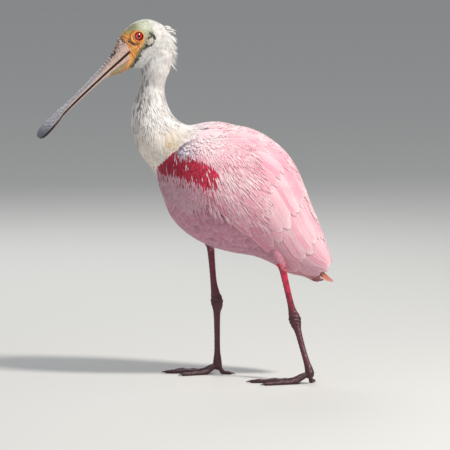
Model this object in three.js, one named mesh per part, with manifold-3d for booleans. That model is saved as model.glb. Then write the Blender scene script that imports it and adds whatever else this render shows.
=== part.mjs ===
// A roseate spoonbill standing with one foot forward, life size, in millimetres.
// The bird looks along -X, its left side is -Y, and +Z is up. The floor is Z = 0.
// Body, neck and wings share one envelope: rings across the bird, each given by its back point, its front or
// belly point and its half width. The head and bill are drawn facing straight ahead, then turned to the left.
import * as THREE from "three";
import { mergeVertices } from "three/addons/utils/BufferGeometryUtils.js";
import Module from "manifold-3d";

const wasm = await Module();
wasm.setup();

const GAP = 0.35; // between two nodes that touch
const LEFT = -1;
const RIGHT = 1;
const DEGREE = Math.PI / 180;

// Rings of the envelope from the top of the neck to the wing tips: [back x, back z, front x, front z, half width]
const BODY = [
  [-22, 478, -60, 462, 19],
  [-18.5, 458, -62, 443, 19],
  [-22, 436, -61, 426, 17],
  [-29, 418, -62, 413, 15.5],
  [-30.5, 402, -68, 398, 17.5],
  [-27, 386, -75, 376, 21.5],
  [-19, 370, -75.5, 352, 28],
  [-8, 359.5, -68.5, 327, 36],
  [5, 354.5, -56, 306, 45],
  [22, 357, -42, 287, 55],
  [42, 357, -32, 258, 62],
  [64, 352, -20, 228, 65],
  [90, 346, 3, 204, 66],
  [115, 333, 34, 187, 64],
  [136, 315, 66, 178, 59],
  [151, 294, 95, 173, 52],
  [163, 267, 119, 163.5, 45],
  [173, 241, 142, 149.5, 38],
  [184, 216, 163, 144.5, 32],
  [195, 190, 184, 138.5, 26],
  [204, 162, 203, 140, 20],
];
const NECK_TOP = 1.25; // ring numbers where the neck and body are parted
const NECK_MIDDLE = 4;
const NECK_BASE = 6.6;
const TORSO_END = 18.4;
const RUMP_START = 15.6;
const PART_STEP = 0.014; // half of a thin cut, in ring numbers
const BODY_SIDES = 24;
const LEG_SIDES = 9;

// The folded wing on the envelope: [ring, top angle, lower angle, thickness, height above the envelope]
const WING = [
  [8.45, 96, 140, 3, 0.4],
  [8.9, 62, 160, 8, 1.4],
  [9.6, 42, 158, 11, 2.4],
  [10.5, 24, 137, 13, 3],
  [11.5, 11, 119, 13, 3.4],
  [12.5, 3, 111, 12, 3.4],
  [13.5, 0, 113, 11, 3.2],
  [14.5, 0, 120, 9, 3],
  [15.5, 0, 126, 7.5, 2.6],
  [16.5, 0, 133, 6, 2.2],
  [17.5, 0, 138, 5, 1.6],
  [18.4, 0, 138, 4, 1],
  [19.2, 10, 118, 3, 0.4],
];
const WING_FRONT = 8.45;
const WING_END = 19.2;

// The head facing straight ahead: [top x, top z, bottom x, bottom z, half width]
const HEAD = [
  [-93, 482, -80, 436, 13],
  [-84, 492, -73, 436.5, 16.5],
  [-72, 500.5, -63, 436, 19.5],
  [-58, 504.2, -50, 437, 21],
  [-44, 501.5, -38, 440, 21.5],
  [-32, 495, -28, 446, 20],
  [-23, 484.5, -20, 456, 14.5],
  [-18, 473, -17.5, 466, 5],
];
const HEAD_YAW = 16 * DEGREE;
const HEAD_PIVOT = new THREE.Vector3(-45, 0, 455);
const EYE = { x: -71, z: 482, side: 11.6, radius: 6.8 };
const LID = { radius: 5.7, thick: 1.5, side: 16.9 };
const EAR = { x: -55, z: 474, side: 18.6, radius: 6, proud: 2.4 };

// The closed edge of the bill from the gape to the tip, facing straight ahead: [x, z]
const MOUTH = [
  [-82.5, 461],
  [-98, 447.5],
  [-113, 434.5],
  [-131.5, 418],
  [-149.8, 401.7],
  [-163.6, 389.4],
  [-176.8, 378],
  [-188.4, 366.8],
  [-200, 355.2],
  [-210.5, 342.3],
];
// [share of the bill's length, upper thickness, lower thickness, half width]
const BILL = [
  [0, 21.5, 22.5, 12.6],
  [0.09, 14.4, 19.5, 12.2],
  [0.16, 10.6, 16.2, 11.4],
  [0.22, 8.6, 10.8, 10.9],
  [0.28, 7.2, 6.2, 10.4],
  [0.42, 5.4, 4.7, 9.8],
  [0.56, 4.4, 4, 10.6],
  [0.68, 3.8, 3.4, 15],
  [0.79, 3.4, 3, 21.8],
  [0.88, 3.2, 2.8, 25],
  [0.945, 3, 2.6, 22.2],
  [0.982, 2.6, 2.3, 15.2],
  [1, 2, 1.8, 7],
];
const MOUTH_GAP = 0.7;
const NOSTRIL = { share: 0.13, side: 5.6, length: 7, wide: 1.3 };

// Each leg from the thigh to the foot, [x, y, z, fore radius, side radius], with the levels where it is parted:
// at the end of the thigh's feathers, at the hock and above the foot
const LEG_RIGHT = {
  rows: [
    [16, 27, 232, 21, 17],
    [22, 29, 214, 17, 14.5],
    [28, 32, 200, 12.5, 11.5],
    [32, 33.5, 189.5, 8.6, 8.2],
    [34.3, 34.7, 180.6, 5.4, 5],
    [36.4, 35.6, 158, 4.4, 4.1],
    [38.6, 36.6, 132, 4.4, 4.1],
    [41, 37.2, 116, 6, 5],
    [43.2, 37.8, 105, 8.3, 6.5],
    [43.8, 38.4, 96, 7.2, 5.6],
    [43.4, 39, 86, 4.8, 4.4],
    [43.6, 40, 60, 4, 3.8],
    [43.8, 41.2, 34, 4.1, 4],
    [44, 41.8, 22, 5.4, 5],
    [44, 42, 13, 6.4, 6],
  ],
  thigh: 181.5,
  hock: 103,
  ankle: 15.5,
};
const LEG_LEFT = {
  rows: [
    [100, -22, 222, 20, 15],
    [112, -26, 204, 16, 13],
    [122, -30, 186, 12, 10.5],
    [130, -33, 170, 8.4, 7.8],
    [134.6, -34.6, 159.6, 5.4, 5],
    [139, -35.4, 140, 4.4, 4.1],
    [146, -36.2, 110, 4.4, 4.1],
    [149, -36.6, 98, 5.8, 5],
    [152, -37.2, 88, 8.2, 6.5],
    [154, -39.5, 80, 7.2, 5.6],
    [156.6, -43, 71, 4.8, 4.4],
    [162.4, -51, 50, 4, 3.8],
    [168.4, -59.6, 30, 4.3, 4],
    [171.2, -64, 21.5, 5.4, 5],
    [173, -66.4, 14, 6.4, 6],
  ],
  thigh: 160.5,
  hock: 86.5,
  ankle: 16.5,
};
// Toes of each foot: the joint that they leave, then tip [x, y] and root radius of the hind, inner, middle and outer toe
const FOOT_RIGHT = {
  joint: [44, 42, 12],
  toes: [
    [69, 34, 3.4],
    [-11, 15, 3.6],
    [-35, 50, 4],
    [-17, 80, 3.7],
  ],
};
const FOOT_LEFT = {
  joint: [172.3, -66, 13],
  toes: [
    [181, -40, 3.4],
    [112, -34, 3.6],
    [84, -58, 4],
    [104, -92, 3.7],
  ],
};
const TOE_NAMES = ["hind", "inner", "middle", "outer"];
const CLAW_LENGTH = 7;

// One value of each column at a place along a table, on a smooth curve through its rows
function sample(table, place) {
  const last = table.length - 1;
  const at = Math.min(Math.max(place, 0), last);
  const i = Math.min(Math.floor(at), last - 1);
  const t = at - i;
  const b = table[i];
  const c = table[i + 1];
  const a = table[i - 1] ?? b.map((value, k) => 2 * value - c[k]);
  const d = table[i + 2] ?? c.map((value, k) => 2 * value - b[k]);
  return b.map((value, k) => {
    const slope = c[k] - a[k];
    const bend = 2 * a[k] - 5 * value + 4 * c[k] - d[k];
    const twist = 3 * value - a[k] - 3 * c[k] + d[k];
    return value + 0.5 * t * (slope + t * (bend + t * twist));
  });
}

// As sample, for a table whose first column is the place itself
function sampleBy(table, key) {
  let i = 0;
  while (i < table.length - 2 && table[i + 1][0] < key) i += 1;
  const t = (key - table[i][0]) / (table[i + 1][0] - table[i][0]);
  return sample(table, i + Math.min(Math.max(t, 0), 1));
}

const mix = (a, b, t) => a + (b - a) * t;
const smooth = (t) => t * t * (3 - 2 * t);

function steps(from, to, count) {
  return Array.from({ length: count + 1 }, (unused, i) => mix(from, to, i / count));
}

// A closed solid from points and triangles, turned face out if it isn't
function solid(points, triangles) {
  const geometry = new THREE.BufferGeometry();
  geometry.setAttribute("position", new THREE.Float32BufferAttribute(points.flat(), 3));
  geometry.setIndex(triangles.flat());
  return solidOf(geometry);
}

function solidOf(geometry) {
  const bare = new THREE.BufferGeometry();
  bare.setAttribute("position", geometry.getAttribute("position"));
  bare.setIndex(geometry.index);
  const merged = mergeVertices(bare, 1e-4);
  const at = merged.attributes.position;
  const index = merged.index.array;
  const [a, b, c] = [new THREE.Vector3(), new THREE.Vector3(), new THREE.Vector3()];
  const triVerts = [];
  let volume = 0;
  for (let i = 0; i < index.length; i += 3) {
    const [p, q, r] = index.slice(i, i + 3);
    if (p === q || q === r || r === p) continue;
    a.fromBufferAttribute(at, p);
    b.fromBufferAttribute(at, q);
    c.fromBufferAttribute(at, r);
    volume += a.dot(b.clone().cross(c));
    triVerts.push([p, q, r]);
  }
  const outward = volume > 0 ? triVerts : triVerts.map(([p, q, r]) => [p, r, q]);
  return new wasm.Manifold(
    new wasm.Mesh({
      numProp: 3,
      vertProperties: new Float32Array(at.array),
      triVerts: new Uint32Array(outward.flat()),
    }),
  );
}

// A surface through rings of points, closed at both ends by fans
function loft(rings) {
  const around = rings[0].length;
  const points = rings.flat();
  const triangles = [];
  for (let i = 0; i < rings.length - 1; i += 1) {
    for (let j = 0; j < around; j += 1) {
      const a = i * around + j;
      const b = i * around + ((j + 1) % around);
      triangles.push([a, b, b + around], [a, b + around, a + around]);
    }
  }
  for (const [ring, start, turn] of [
    [rings[0], 0, false],
    [rings.at(-1), (rings.length - 1) * around, true],
  ]) {
    const centre = points.length;
    points.push([0, 1, 2].map((k) => ring.reduce((sum, p) => sum + p[k], 0) / around));
    for (let j = 0; j < around; j += 1) {
      const a = start + j;
      const b = start + ((j + 1) % around);
      triangles.push(turn ? [a, b, centre] : [b, a, centre]);
    }
  }
  return solid(points, triangles);
}

// The closed surface with the largest volume, so that sealed hollows are filled and scraps dropped
function largest(shape) {
  return shape.decompose().reduce((best, s) => (s.volume() > best.volume() ? s : best));
}

function joined(shapes) {
  return wasm.Manifold.union(shapes);
}

// A point of the envelope: angle 0 is the back, 180 the front or belly, and lift moves it outward
function bodyPoint(ring, angle, side, lift = 0, shrink = 1) {
  const [bx, bz, fx, fz, half] = sample(BODY, ring);
  const height = (Math.hypot(bx - fx, bz - fz) / 2) * shrink;
  const width = half * shrink;
  const up = [(bx - fx) / 2, (bz - fz) / 2].map((v) => (v * shrink) / height);
  const centre = [fx + up[0] * height, fz + up[1] * height];
  const c = Math.cos(angle * DEGREE);
  const s = Math.sin(angle * DEGREE);
  const slope = Math.hypot(c * width, s * height);
  const high = c * (height + (lift * width) / slope);
  const wide = s * (width + (lift * height) / slope);
  return [centre[0] + up[0] * high, side * wide, centre[1] + up[1] * high];
}

// How much of the envelope's ring the rump and under-tail coverts fill
function rump(ring) {
  const t = Math.max(0, (ring - RUMP_START) / (TORSO_END + 0.4 - RUMP_START));
  return Math.sqrt(1 - t * t);
}

function bodyLoft(from, to, count, lift = 0) {
  const rings = steps(from, to, count).map((ring) =>
    steps(0, 360 - 360 / BODY_SIDES, BODY_SIDES - 1).map((angle) =>
      bodyPoint(ring, angle, 1, lift, rump(ring)),
    ),
  );
  return loft(rings);
}

// A point of the folded wing: across runs from its top edge, 0, to its lower edge, 1
function wingPoint(ring, across, side, depth = 0) {
  const [, top, low, , raise] = sampleBy(WING, ring);
  return bodyPoint(ring, mix(top, low, across), side, raise - depth);
}

// The wing's body between its outer face and a depth below it. Room widens it on every edge
function wingShell(side, outer, depthOf, room) {
  const across = 7;
  const rings = steps(WING_FRONT - room / 15, WING_END + room / 15, 14).map((ring) => {
    const [, top, low, thick, raise] = sampleBy(WING, ring);
    const spread = room / DEGREE / 60;
    const angleAt = (v) => mix(top - spread, low + spread, v);
    const face = (v, lift) => bodyPoint(ring, angleAt(v), side, raise + lift);
    const edge = (v) => Math.sqrt(Math.sin(Math.PI * mix(0.06, 0.94, v)));
    const front = steps(0, 1, across).map((v) => face(v, outer));
    const back = steps(1, 0, across).map((v) => face(v, -depthOf(thick, edge(v))));
    return [...front, ...back];
  });
  return loft(rings);
}

// A thin plate along a path: at(t) gives the point, the normal and the way that the plate runs
function vane(at, form) {
  const { half, rise, sunk, thick, thin, pointed, rows } = form;
  const rings = steps(0, 1, rows).map((t) => {
    const { point, normal, along } = at(t);
    const across = normal.clone().cross(along).normalize();
    const round = pointed
      ? Math.pow(1 - t, 0.8)
      : Math.sqrt(Math.max(0, 1 - Math.pow(Math.max(0, (t - 0.62) / 0.385), 2)));
    const width = half * Math.min(1, 0.55 + t) * Math.max(round, 0.09);
    const top = mix(-sunk, rise, Math.pow(t, 1.1));
    const bottom = top - mix(thick, thin, t);
    const corner = (w, h) => point.clone().addScaledVector(across, w).addScaledVector(normal, h);
    return [
      corner(-width, top),
      corner(width, top),
      corner(width * 0.98, bottom),
      corner(-width * 0.98, bottom),
    ].map((p) => p.toArray());
  });
  return loft(rings);
}

// A feather of the wing from its root to its tip, both given as [ring, across]
function wingFeather(side, root, tip, form) {
  const place = (t) => {
    const ring = mix(root[0], tip[0], t);
    const across = mix(root[1], tip[1], t);
    return new THREE.Vector3(...wingPoint(ring, across, side));
  };
  const at = (t) => {
    const near = Math.min(t, 0.97);
    const point = place(t);
    const along = place(near + 0.03).sub(place(near)).normalize();
    const ring = mix(root[0], tip[0], t);
    const across = mix(root[1], tip[1], t);
    const normal = new THREE.Vector3(...wingPoint(ring, across, side, -1))
      .sub(point)
      .normalize();
    return { point, normal, along };
  };
  return vane(at, { rows: 5, sunk: 0.9, thick: 2.8, thin: 2.8, pointed: false, ...form });
}

// Tiers of the wing's feathers. Each has a first and last feather, given by root and tip [ring, across]
const TIERS = [
  {
    // short red-fringed coverts over the shoulder, upper tier
    count: 4,
    first: [[8.9, 0.52], [9.2, 0.9]],
    last: [[11.4, 0.62], [12.05, 0.84]],
    form: { half: 6, rise: 1.3, pointed: true, rows: 3 },
  },
  {
    // and the lower tier, hanging over the edge
    count: 5,
    first: [[9.0, 0.72], [9.35, 1.05]],
    last: [[11.9, 0.74], [12.7, 0.99]],
    form: { half: 6, rise: 1.5, pointed: true, rows: 3, thin: 1.6 },
  },
  {
    // shoulder feathers
    count: 3,
    first: [[9.4, 0.14], [11.4, 0.05]],
    last: [[9.3, 0.5], [11.3, 0.56]],
    form: { half: 12, rise: 1.4, rows: 3 },
  },
  {
    // median coverts
    count: 4,
    first: [[10.9, 0.12], [13.2, 0.12]],
    last: [[11.6, 0.8], [13.7, 0.97]],
    form: { half: 13, rise: 1.5, rows: 3 },
  },
  {
    // greater coverts
    count: 5,
    first: [[12.3, 0.16], [15.2, 0.18]],
    last: [[12.9, 0.84], [15.1, 1.0]],
    form: { half: 12, rise: 1.7, rows: 4 },
  },
  {
    // tertials and secondaries
    count: 6,
    first: [[14.0, 0.2], [18.2, 0.14]],
    last: [[14.4, 0.86], [17.4, 1.03]],
    form: { half: 10, rise: 1.5, rows: 4, thin: 1.4 },
  },
  {
    // primaries
    count: 4,
    first: [[16.6, 0.3], [19.85, 0.22]],
    last: [[16.4, 0.8], [19.3, 1.0]],
    form: { half: 6, rise: 0.9, rows: 4, thin: 1.1 },
  },
  {
    // scapulars along the back
    count: 3,
    first: [[11.7, 0.05], [17.9, 0.05]],
    last: [[10.4, 0.16], [14.2, 0.26]],
    form: { half: 10, rise: 2.4, rows: 5 },
  },
];

function wingDepth(thick, edge) {
  return 0.8 + (thick - 0.8) * edge;
}

function wing(side) {
  const core = wingShell(side, -0.6, wingDepth, 0);
  const feathers = TIERS.flatMap(({ count, first, last, form }) =>
    steps(0, 1, count - 1).map((t) => {
      const root = [0, 1].map((k) => mix(first[0][k], last[0][k], t));
      const tip = [0, 1].map((k) => mix(first[1][k], last[1][k], t));
      return wingFeather(side, root, tip, form);
    }),
  );
  return joined([core, ...feathers]);
}

// A round limb through rows of [x, y, z, fore radius, side radius]
function limb(rows, sides, perSpan) {
  const places = steps(0, rows.length - 1, (rows.length - 1) * perSpan);
  const rings = places.map((place) => {
    const [x, y, z, fore, wide] = sample(rows, place);
    const ahead = sample(rows, place + 0.05);
    const behind = sample(rows, place - 0.05);
    const along = new THREE.Vector3(...[0, 1, 2].map((k) => ahead[k] - behind[k])).normalize();
    const across = new THREE.Vector3(0, 1, 0).addScaledVector(along, -along.y).normalize();
    const forward = across.clone().cross(along);
    return steps(0, 360 - 360 / sides, sides - 1).map((angle) =>
      new THREE.Vector3(x, y, z)
        .addScaledVector(forward, fore * Math.cos(angle * DEGREE))
        .addScaledVector(across, wide * Math.sin(angle * DEGREE))
        .toArray(),
    );
  });
  return loft(rings);
}

// The part of a shape between two levels
function between(shape, low, high) {
  return shape.trimByPlane([0, 0, 1], low).trimByPlane([0, 0, -1], -high);
}

// A box from its centre, size and turn about Y
function block(centre, size, turn = 0) {
  const geometry = new THREE.BoxGeometry(...size);
  geometry.rotateY(turn);
  geometry.translate(...centre);
  return solidOf(geometry);
}

function ball(centre, radii, sides = 12) {
  const geometry = new THREE.SphereGeometry(1, sides, Math.round(sides * 0.6));
  geometry.scale(...radii);
  geometry.translate(...centre);
  return solidOf(geometry);
}

// Everything drawn facing straight ahead turns with the head
function turned(shape) {
  const matrix = new THREE.Matrix4()
    .makeTranslation(HEAD_PIVOT)
    .multiply(new THREE.Matrix4().makeRotationZ(HEAD_YAW))
    .multiply(new THREE.Matrix4().makeTranslation(HEAD_PIVOT.clone().negate()));
  return shape.transform(matrix.elements);
}

function headPoint(place, angle) {
  const [tx, tz, bx, bz, half] = sample(HEAD, place);
  const c = Math.cos(angle * DEGREE);
  const s = Math.sin(angle * DEGREE);
  const narrow = 1 - 0.16 * (1 - c) * (1 - place / (HEAD.length - 1));
  return [
    mix(bx, tx, (1 + c) / 2),
    half * s * narrow,
    mix(bz, tz, (1 + c) / 2),
  ];
}

// Long feathers of the nape, loose at their tips
function crest() {
  const rows = [
    { z: 492, count: 4, spread: 9, length: 17, drop: -4, stand: 5 },
    { z: 480, count: 5, spread: 12, length: 20, drop: -9, stand: 6.5 },
    { z: 468, count: 5, spread: 13, length: 22, drop: -15, stand: 7 },
    { z: 458, count: 4, spread: 11, length: 20, drop: -17, stand: 6 },
  ];
  return rows.flatMap(({ z, count, spread, length, drop, stand }) =>
    steps(-1, 1, count - 1).map((t) => {
      const back = -17.5 - Math.pow(Math.abs(z - 468) / 11.5, 2);
      const root = new THREE.Vector3(back - 3.5 - t * t * 3, t * spread, z);
      const tip = root.clone().add(new THREE.Vector3(length * 0.45 + stand, t * 3, drop));
      const way = tip.clone().sub(root).normalize();
      const normal = new THREE.Vector3(0.8, t * 0.5, 0.6).normalize();
      const straight = normal.addScaledVector(way, -normal.dot(way)).normalize();
      const at = (share) => ({
        point: root.clone().lerp(tip, share).add(new THREE.Vector3(0, 0, -share * share * 2)),
        normal: straight,
        along: way,
      });
      const form = { half: 2.6, rise: 0, sunk: 0, thick: 1.6, thin: 0.7, pointed: true, rows: 2 };
      return vane(at, form);
    }),
  );
}

function headSolid() {
  const skull = loft(
    steps(0, HEAD.length - 1, 12).map((place) =>
      steps(0, 340, 17).map((angle) => headPoint(place, angle)),
    ),
  );
  const lids = [LEFT, RIGHT].map((side) => {
    const ring = new THREE.TorusGeometry(LID.radius, LID.thick, 6, 14);
    ring.rotateX(Math.PI / 2);
    ring.translate(EYE.x, side * LID.side, EYE.z);
    return solidOf(ring);
  });
  const ears = [LEFT, RIGHT].map((side) =>
    ball([EAR.x, side * EAR.side, EAR.z], [EAR.radius, EAR.proud, EAR.radius], 8),
  );
  const sockets = [LEFT, RIGHT].map((side) => {
    const room = EYE.radius + GAP;
    return ball([EYE.x, side * EYE.side, EYE.z], [room, room, room]);
  });
  return turned(joined([skull, ...lids, ...ears, ...crest()]).subtract(joined(sockets)));
}

// The bill's edge, its direction and its sizes at a share of its length
function billFrame(share) {
  const [x, z] = sample(MOUTH, share * (MOUTH.length - 1));
  const [x1, z1] = sample(MOUTH, Math.min(1, share + 0.01) * (MOUTH.length - 1));
  const [x0, z0] = sample(MOUTH, Math.max(0, share - 0.01) * (MOUTH.length - 1));
  const along = new THREE.Vector2(x1 - x0, z1 - z0).normalize();
  const [, upper, lower, half] = sampleBy(BILL, share);
  return { x, z, up: [along.y, -along.x], upper, lower, half };
}

// One mandible: way is 1 for the upper and -1 for the lower
function mandible(way) {
  const rings = steps(0, 1, 18).map((share) => {
    const { x, z, up, upper, lower, half } = billFrame(share);
    const thick = way > 0 ? upper : lower;
    const edge = Math.min(1.1, thick * 0.4);
    const level = (h) => (way * (h + MOUTH_GAP / 2));
    const at = (side, h) => [x + up[0] * level(h), side, z + up[1] * level(h)];
    const arch = steps(-1, 1, 8).map((s) => {
      const round = Math.pow(1 - Math.pow(Math.abs(s), 2.4), 1 / 2);
      return at(s * half, edge + (thick - edge) * round);
    });
    return [at(-half, 0), ...arch, at(half, 0), at(0, 0)];
  });
  return loft(rings);
}

function bill() {
  const nostrils = [LEFT, RIGHT].map((side) => {
    const { x, z, up, upper } = billFrame(NOSTRIL.share);
    const slit = new THREE.SphereGeometry(1, 10, 8);
    slit.scale(NOSTRIL.length / 2, NOSTRIL.wide, 2);
    slit.rotateY(Math.atan2(up[0], up[1]));
    slit.translate(x + up[0] * upper * 0.86, side * NOSTRIL.side, z + up[1] * upper * 0.86);
    return solidOf(slit);
  });
  // The face ends the bill on a plane through the forehead and the jaw
  const [tx, tz, bx, bz] = HEAD[0];
  const turn = Math.atan2(tx - bx, tz - bz);
  const middle = [(tx + bx) / 2, 0, (tz + bz) / 2];
  const behind = [middle[0] + 50 * Math.cos(turn) - GAP, 0, middle[2] - 50 * Math.sin(turn)];
  const face = block(behind, [100, 120, 200], turn);
  return {
    upper: turned(mandible(1).subtract(face).subtract(joined(nostrils))),
    lower: turned(mandible(-1).subtract(face)),
  };
}

// The tail: feathers side by side, the middle ones highest and longest
function tail() {
  const feathers = steps(-4, 4, 8).map((i) => {
    const root = new THREE.Vector3(146, i * 1.6, 192 - Math.abs(i) * 0.7);
    const tip = new THREE.Vector3(207 - i * i * 0.5, i * 4.1, 136.5 + i * i * 0.25);
    const along = tip.clone().sub(root).normalize();
    const normal = new THREE.Vector3(0.66, i * 0.05, 0.75);
    const straight = normal.addScaledVector(along, -normal.dot(along)).normalize();
    const at = (t) => ({
      point: root.clone().lerp(tip, t).addScaledVector(straight, -Math.abs(i) * 0.75),
      normal: straight,
      along,
    });
    const form = { half: 6.5, rise: 0, sunk: 0, thick: 1.6, thin: 1.2, pointed: false, rows: 6 };
    return vane(at, form);
  });
  return joined(feathers);
}

// A toe from the foot's joint to the root of its claw, flat below where it lies on the floor
function toePath([jx, jy, jz], [tx, ty, radius]) {
  const length = Math.hypot(tx - jx, ty - jy);
  const reach = 1 - CLAW_LENGTH / length;
  const knuckles = [0.3, 0.55, 0.8];
  return steps(0, 1, 7).map((t) => {
    const share = t * reach;
    const swell = knuckles.reduce((sum, k) => sum + Math.exp(-Math.pow((share - k) / 0.05, 2)), 0);
    const thick = mix(radius, radius * 0.62, t) * (1 + 0.14 * swell);
    const rest = thick - 0.35;
    const down = smooth(Math.min(1, share / 0.34));
    return [mix(jx, tx, share), mix(jy, ty, share), mix(jz, rest, down), thick, thick];
  });
}

function toeTube(rows, sides) {
  const rings = rows.map(([x, y, z, thick], i) => {
    const before = new THREE.Vector3(...rows[Math.max(0, i - 1)]);
    const after = new THREE.Vector3(...rows[Math.min(rows.length - 1, i + 1)]);
    const along = after.sub(before).normalize();
    const up = new THREE.Vector3(0, 0, 1).addScaledVector(along, -along.z).normalize();
    const across = up.clone().cross(along);
    return steps(0, 360 - 360 / sides, sides - 1).map((angle) =>
      new THREE.Vector3(x, y, z)
        .addScaledVector(up, thick * Math.cos(angle * DEGREE))
        .addScaledVector(across, thick * Math.sin(angle * DEGREE))
        .toArray(),
    );
  });
  return loft(rings);
}

// The skin between two toes near their roots: a thin plate with a hollow front edge
function web(one, other) {
  const reach = 4;
  const points = [];
  const triangles = [];
  for (let i = 0; i <= reach; i += 1) {
    for (let j = 0; j <= 3; j += 1) {
      const share = j / 3;
      const pull = 1 - 0.55 * Math.sin(Math.PI * share) * (i / reach);
      const a = sample(one, i * pull);
      const b = sample(other, i * pull);
      const at = [0, 1, 2].map((k) => mix(a[k], b[k], share));
      points.push([at[0], at[1], at[2] + 0.5], [at[0], at[1], at[2] - 0.7]);
    }
  }
  const corner = (i, j, low) => (i * 4 + j) * 2 + low;
  const quad = (a, b, c, d) => triangles.push([a, b, c], [a, c, d]);
  for (let i = 0; i < reach; i += 1) {
    for (let j = 0; j < 3; j += 1) {
      quad(corner(i, j, 0), corner(i, j + 1, 0), corner(i + 1, j + 1, 0), corner(i + 1, j, 0));
      quad(corner(i, j, 1), corner(i + 1, j, 1), corner(i + 1, j + 1, 1), corner(i, j + 1, 1));
    }
    quad(corner(i, 0, 0), corner(i + 1, 0, 0), corner(i + 1, 0, 1), corner(i, 0, 1));
    quad(corner(i, 3, 1), corner(i + 1, 3, 1), corner(i + 1, 3, 0), corner(i, 3, 0));
  }
  for (let j = 0; j < 3; j += 1) {
    quad(corner(0, j, 1), corner(0, j + 1, 1), corner(0, j + 1, 0), corner(0, j, 0));
    quad(corner(reach, j, 0), corner(reach, j + 1, 0), corner(reach, j + 1, 1), corner(reach, j, 1));
  }
  return solid(points, triangles);
}

function foot({ joint, toes }, ankle) {
  const paths = toes.map((toe) => toePath(joint, toe));
  const tubes = paths.map((path) => toeTube(path, 6));
  const knob = ball(joint, [6.6, 6.4, 6.2]);
  const skins = [web(paths[1], paths[2]), web(paths[2], paths[3])];
  return between(joined([knob, ...tubes, ...skins]), 0, ankle - GAP / 2);
}

function claw({ joint, toes }, i) {
  const path = toePath(joint, toes[i]);
  const [x, y, z, thick] = path.at(-1);
  const way = new THREE.Vector3(toes[i][0] - joint[0], toes[i][1] - joint[1], 0).normalize();
  const rows = steps(0, 1, 3).map((t) => [
    x + way.x * (GAP + t * CLAW_LENGTH),
    y + way.y * (GAP + t * CLAW_LENGTH),
    mix(z, 1.1, t),
    mix(thick * 0.8, 0.45, t),
  ]);
  return between(toeTube(rows, 5), 0, 20);
}

const PINK = new THREE.Color(0.86, 0.56, 0.62);
const COLOURS = {
  torso: PINK,
  wing: new THREE.Color(0.87, 0.55, 0.63),
  neck: new THREE.Color(0.82, 0.8, 0.78),
  head: new THREE.Color(0.62, 0.64, 0.5),
  bill: new THREE.Color(0.6, 0.56, 0.54),
  eye: new THREE.Color(0.75, 0.02, 0.03),
  tail: new THREE.Color(0.8, 0.42, 0.25),
  thigh: new THREE.Color(0.8, 0.5, 0.55),
  shank: new THREE.Color(0.5, 0.05, 0.12),
  tarsus: new THREE.Color(0.16, 0.07, 0.09),
  foot: new THREE.Color(0.1, 0.06, 0.07),
  claw: new THREE.Color(0.05, 0.04, 0.04),
};

const bird = new THREE.Group();

function add(name, kind, shape, roughness = 0.7) {
  const { numProp, vertProperties, triVerts } = largest(shape).getMesh();
  const points = [];
  for (let i = 0; i < vertProperties.length; i += numProp) {
    points.push(...vertProperties.slice(i, i + 3));
  }
  const geometry = new THREE.BufferGeometry();
  geometry.setAttribute("position", new THREE.Float32BufferAttribute(points, 3));
  geometry.setIndex([...triVerts]);
  geometry.computeVertexNormals();
  const material = new THREE.MeshStandardMaterial({ color: COLOURS[kind], roughness });
  const mesh = new THREE.Mesh(geometry, material);
  mesh.name = name;
  bird.add(mesh);
}

// A bed for each wing is let into the body, wider and deeper than the wing by some room
function wingBeds(room) {
  const depth = (thick, edge) => room + wingDepth(thick, edge);
  return [LEFT, RIGHT].map((side) => wingShell(side, 30, depth, room));
}

const beds = wingBeds(GAP / 2);
const pockets = wingBeds(1.5 * GAP);
const torsoRoom = bodyLoft(NECK_BASE, TORSO_END, 18, GAP);
const torso = bodyLoft(NECK_BASE + PART_STEP, TORSO_END, 18).subtract(joined(pockets));
const midline = block([100, 0, 250], [400, GAP, 400]);
const legRooms = [LEG_LEFT, LEG_RIGHT].map(({ rows }) => {
  const wider = rows.map(([x, y, z, fore, wide]) => [x, y, z, fore + GAP, wide + GAP]);
  return limb(wider, LEG_SIDES, 2);
});
const besideWings = joined([torsoRoom.subtract(joined(beds)), midline, ...legRooms]);

add("torso", "torso", torso);
add("neck_lower", "neck", bodyLoft(NECK_MIDDLE + PART_STEP, NECK_BASE - PART_STEP, 6));
add("neck_upper", "neck", bodyLoft(NECK_TOP + PART_STEP, NECK_MIDDLE - PART_STEP, 6));

const neckRoom = bodyLoft(NECK_TOP, NECK_MIDDLE, 6, GAP);
const neckStub = bodyLoft(0, NECK_TOP - PART_STEP, 4);
const [nx, nz, mx, mz] = sample(BODY, NECK_TOP - PART_STEP);
const neckTurn = Math.atan2(nz - mz, nx - mx);
const underHead = block(
  [(nx + mx) / 2 + 40 * Math.sin(neckTurn), 0, (nz + mz) / 2 - 40 * Math.cos(neckTurn)],
  [43, 60, 80],
  -neckTurn,
);
const beaks = bill();
const head = joined([headSolid(), neckStub]).subtract(underHead).subtract(neckRoom);
add("head", "head", head);
add("bill_upper", "bill", beaks.upper, 0.5);
add("bill_lower", "bill", beaks.lower, 0.5);
for (const [side, name] of [
  [LEFT, "left"],
  [RIGHT, "right"],
]) {
  const eye = ball([EYE.x, side * EYE.side, EYE.z], [EYE.radius, EYE.radius, EYE.radius]);
  add("eye_" + name, "eye", turned(eye), 0.1);
  add("wing_" + name, "wing", wing(side).subtract(besideWings));
}
const bodyRoom = joined([torsoRoom, ...pockets]);
add("tail", "tail", tail().subtract(bodyRoom));

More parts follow.
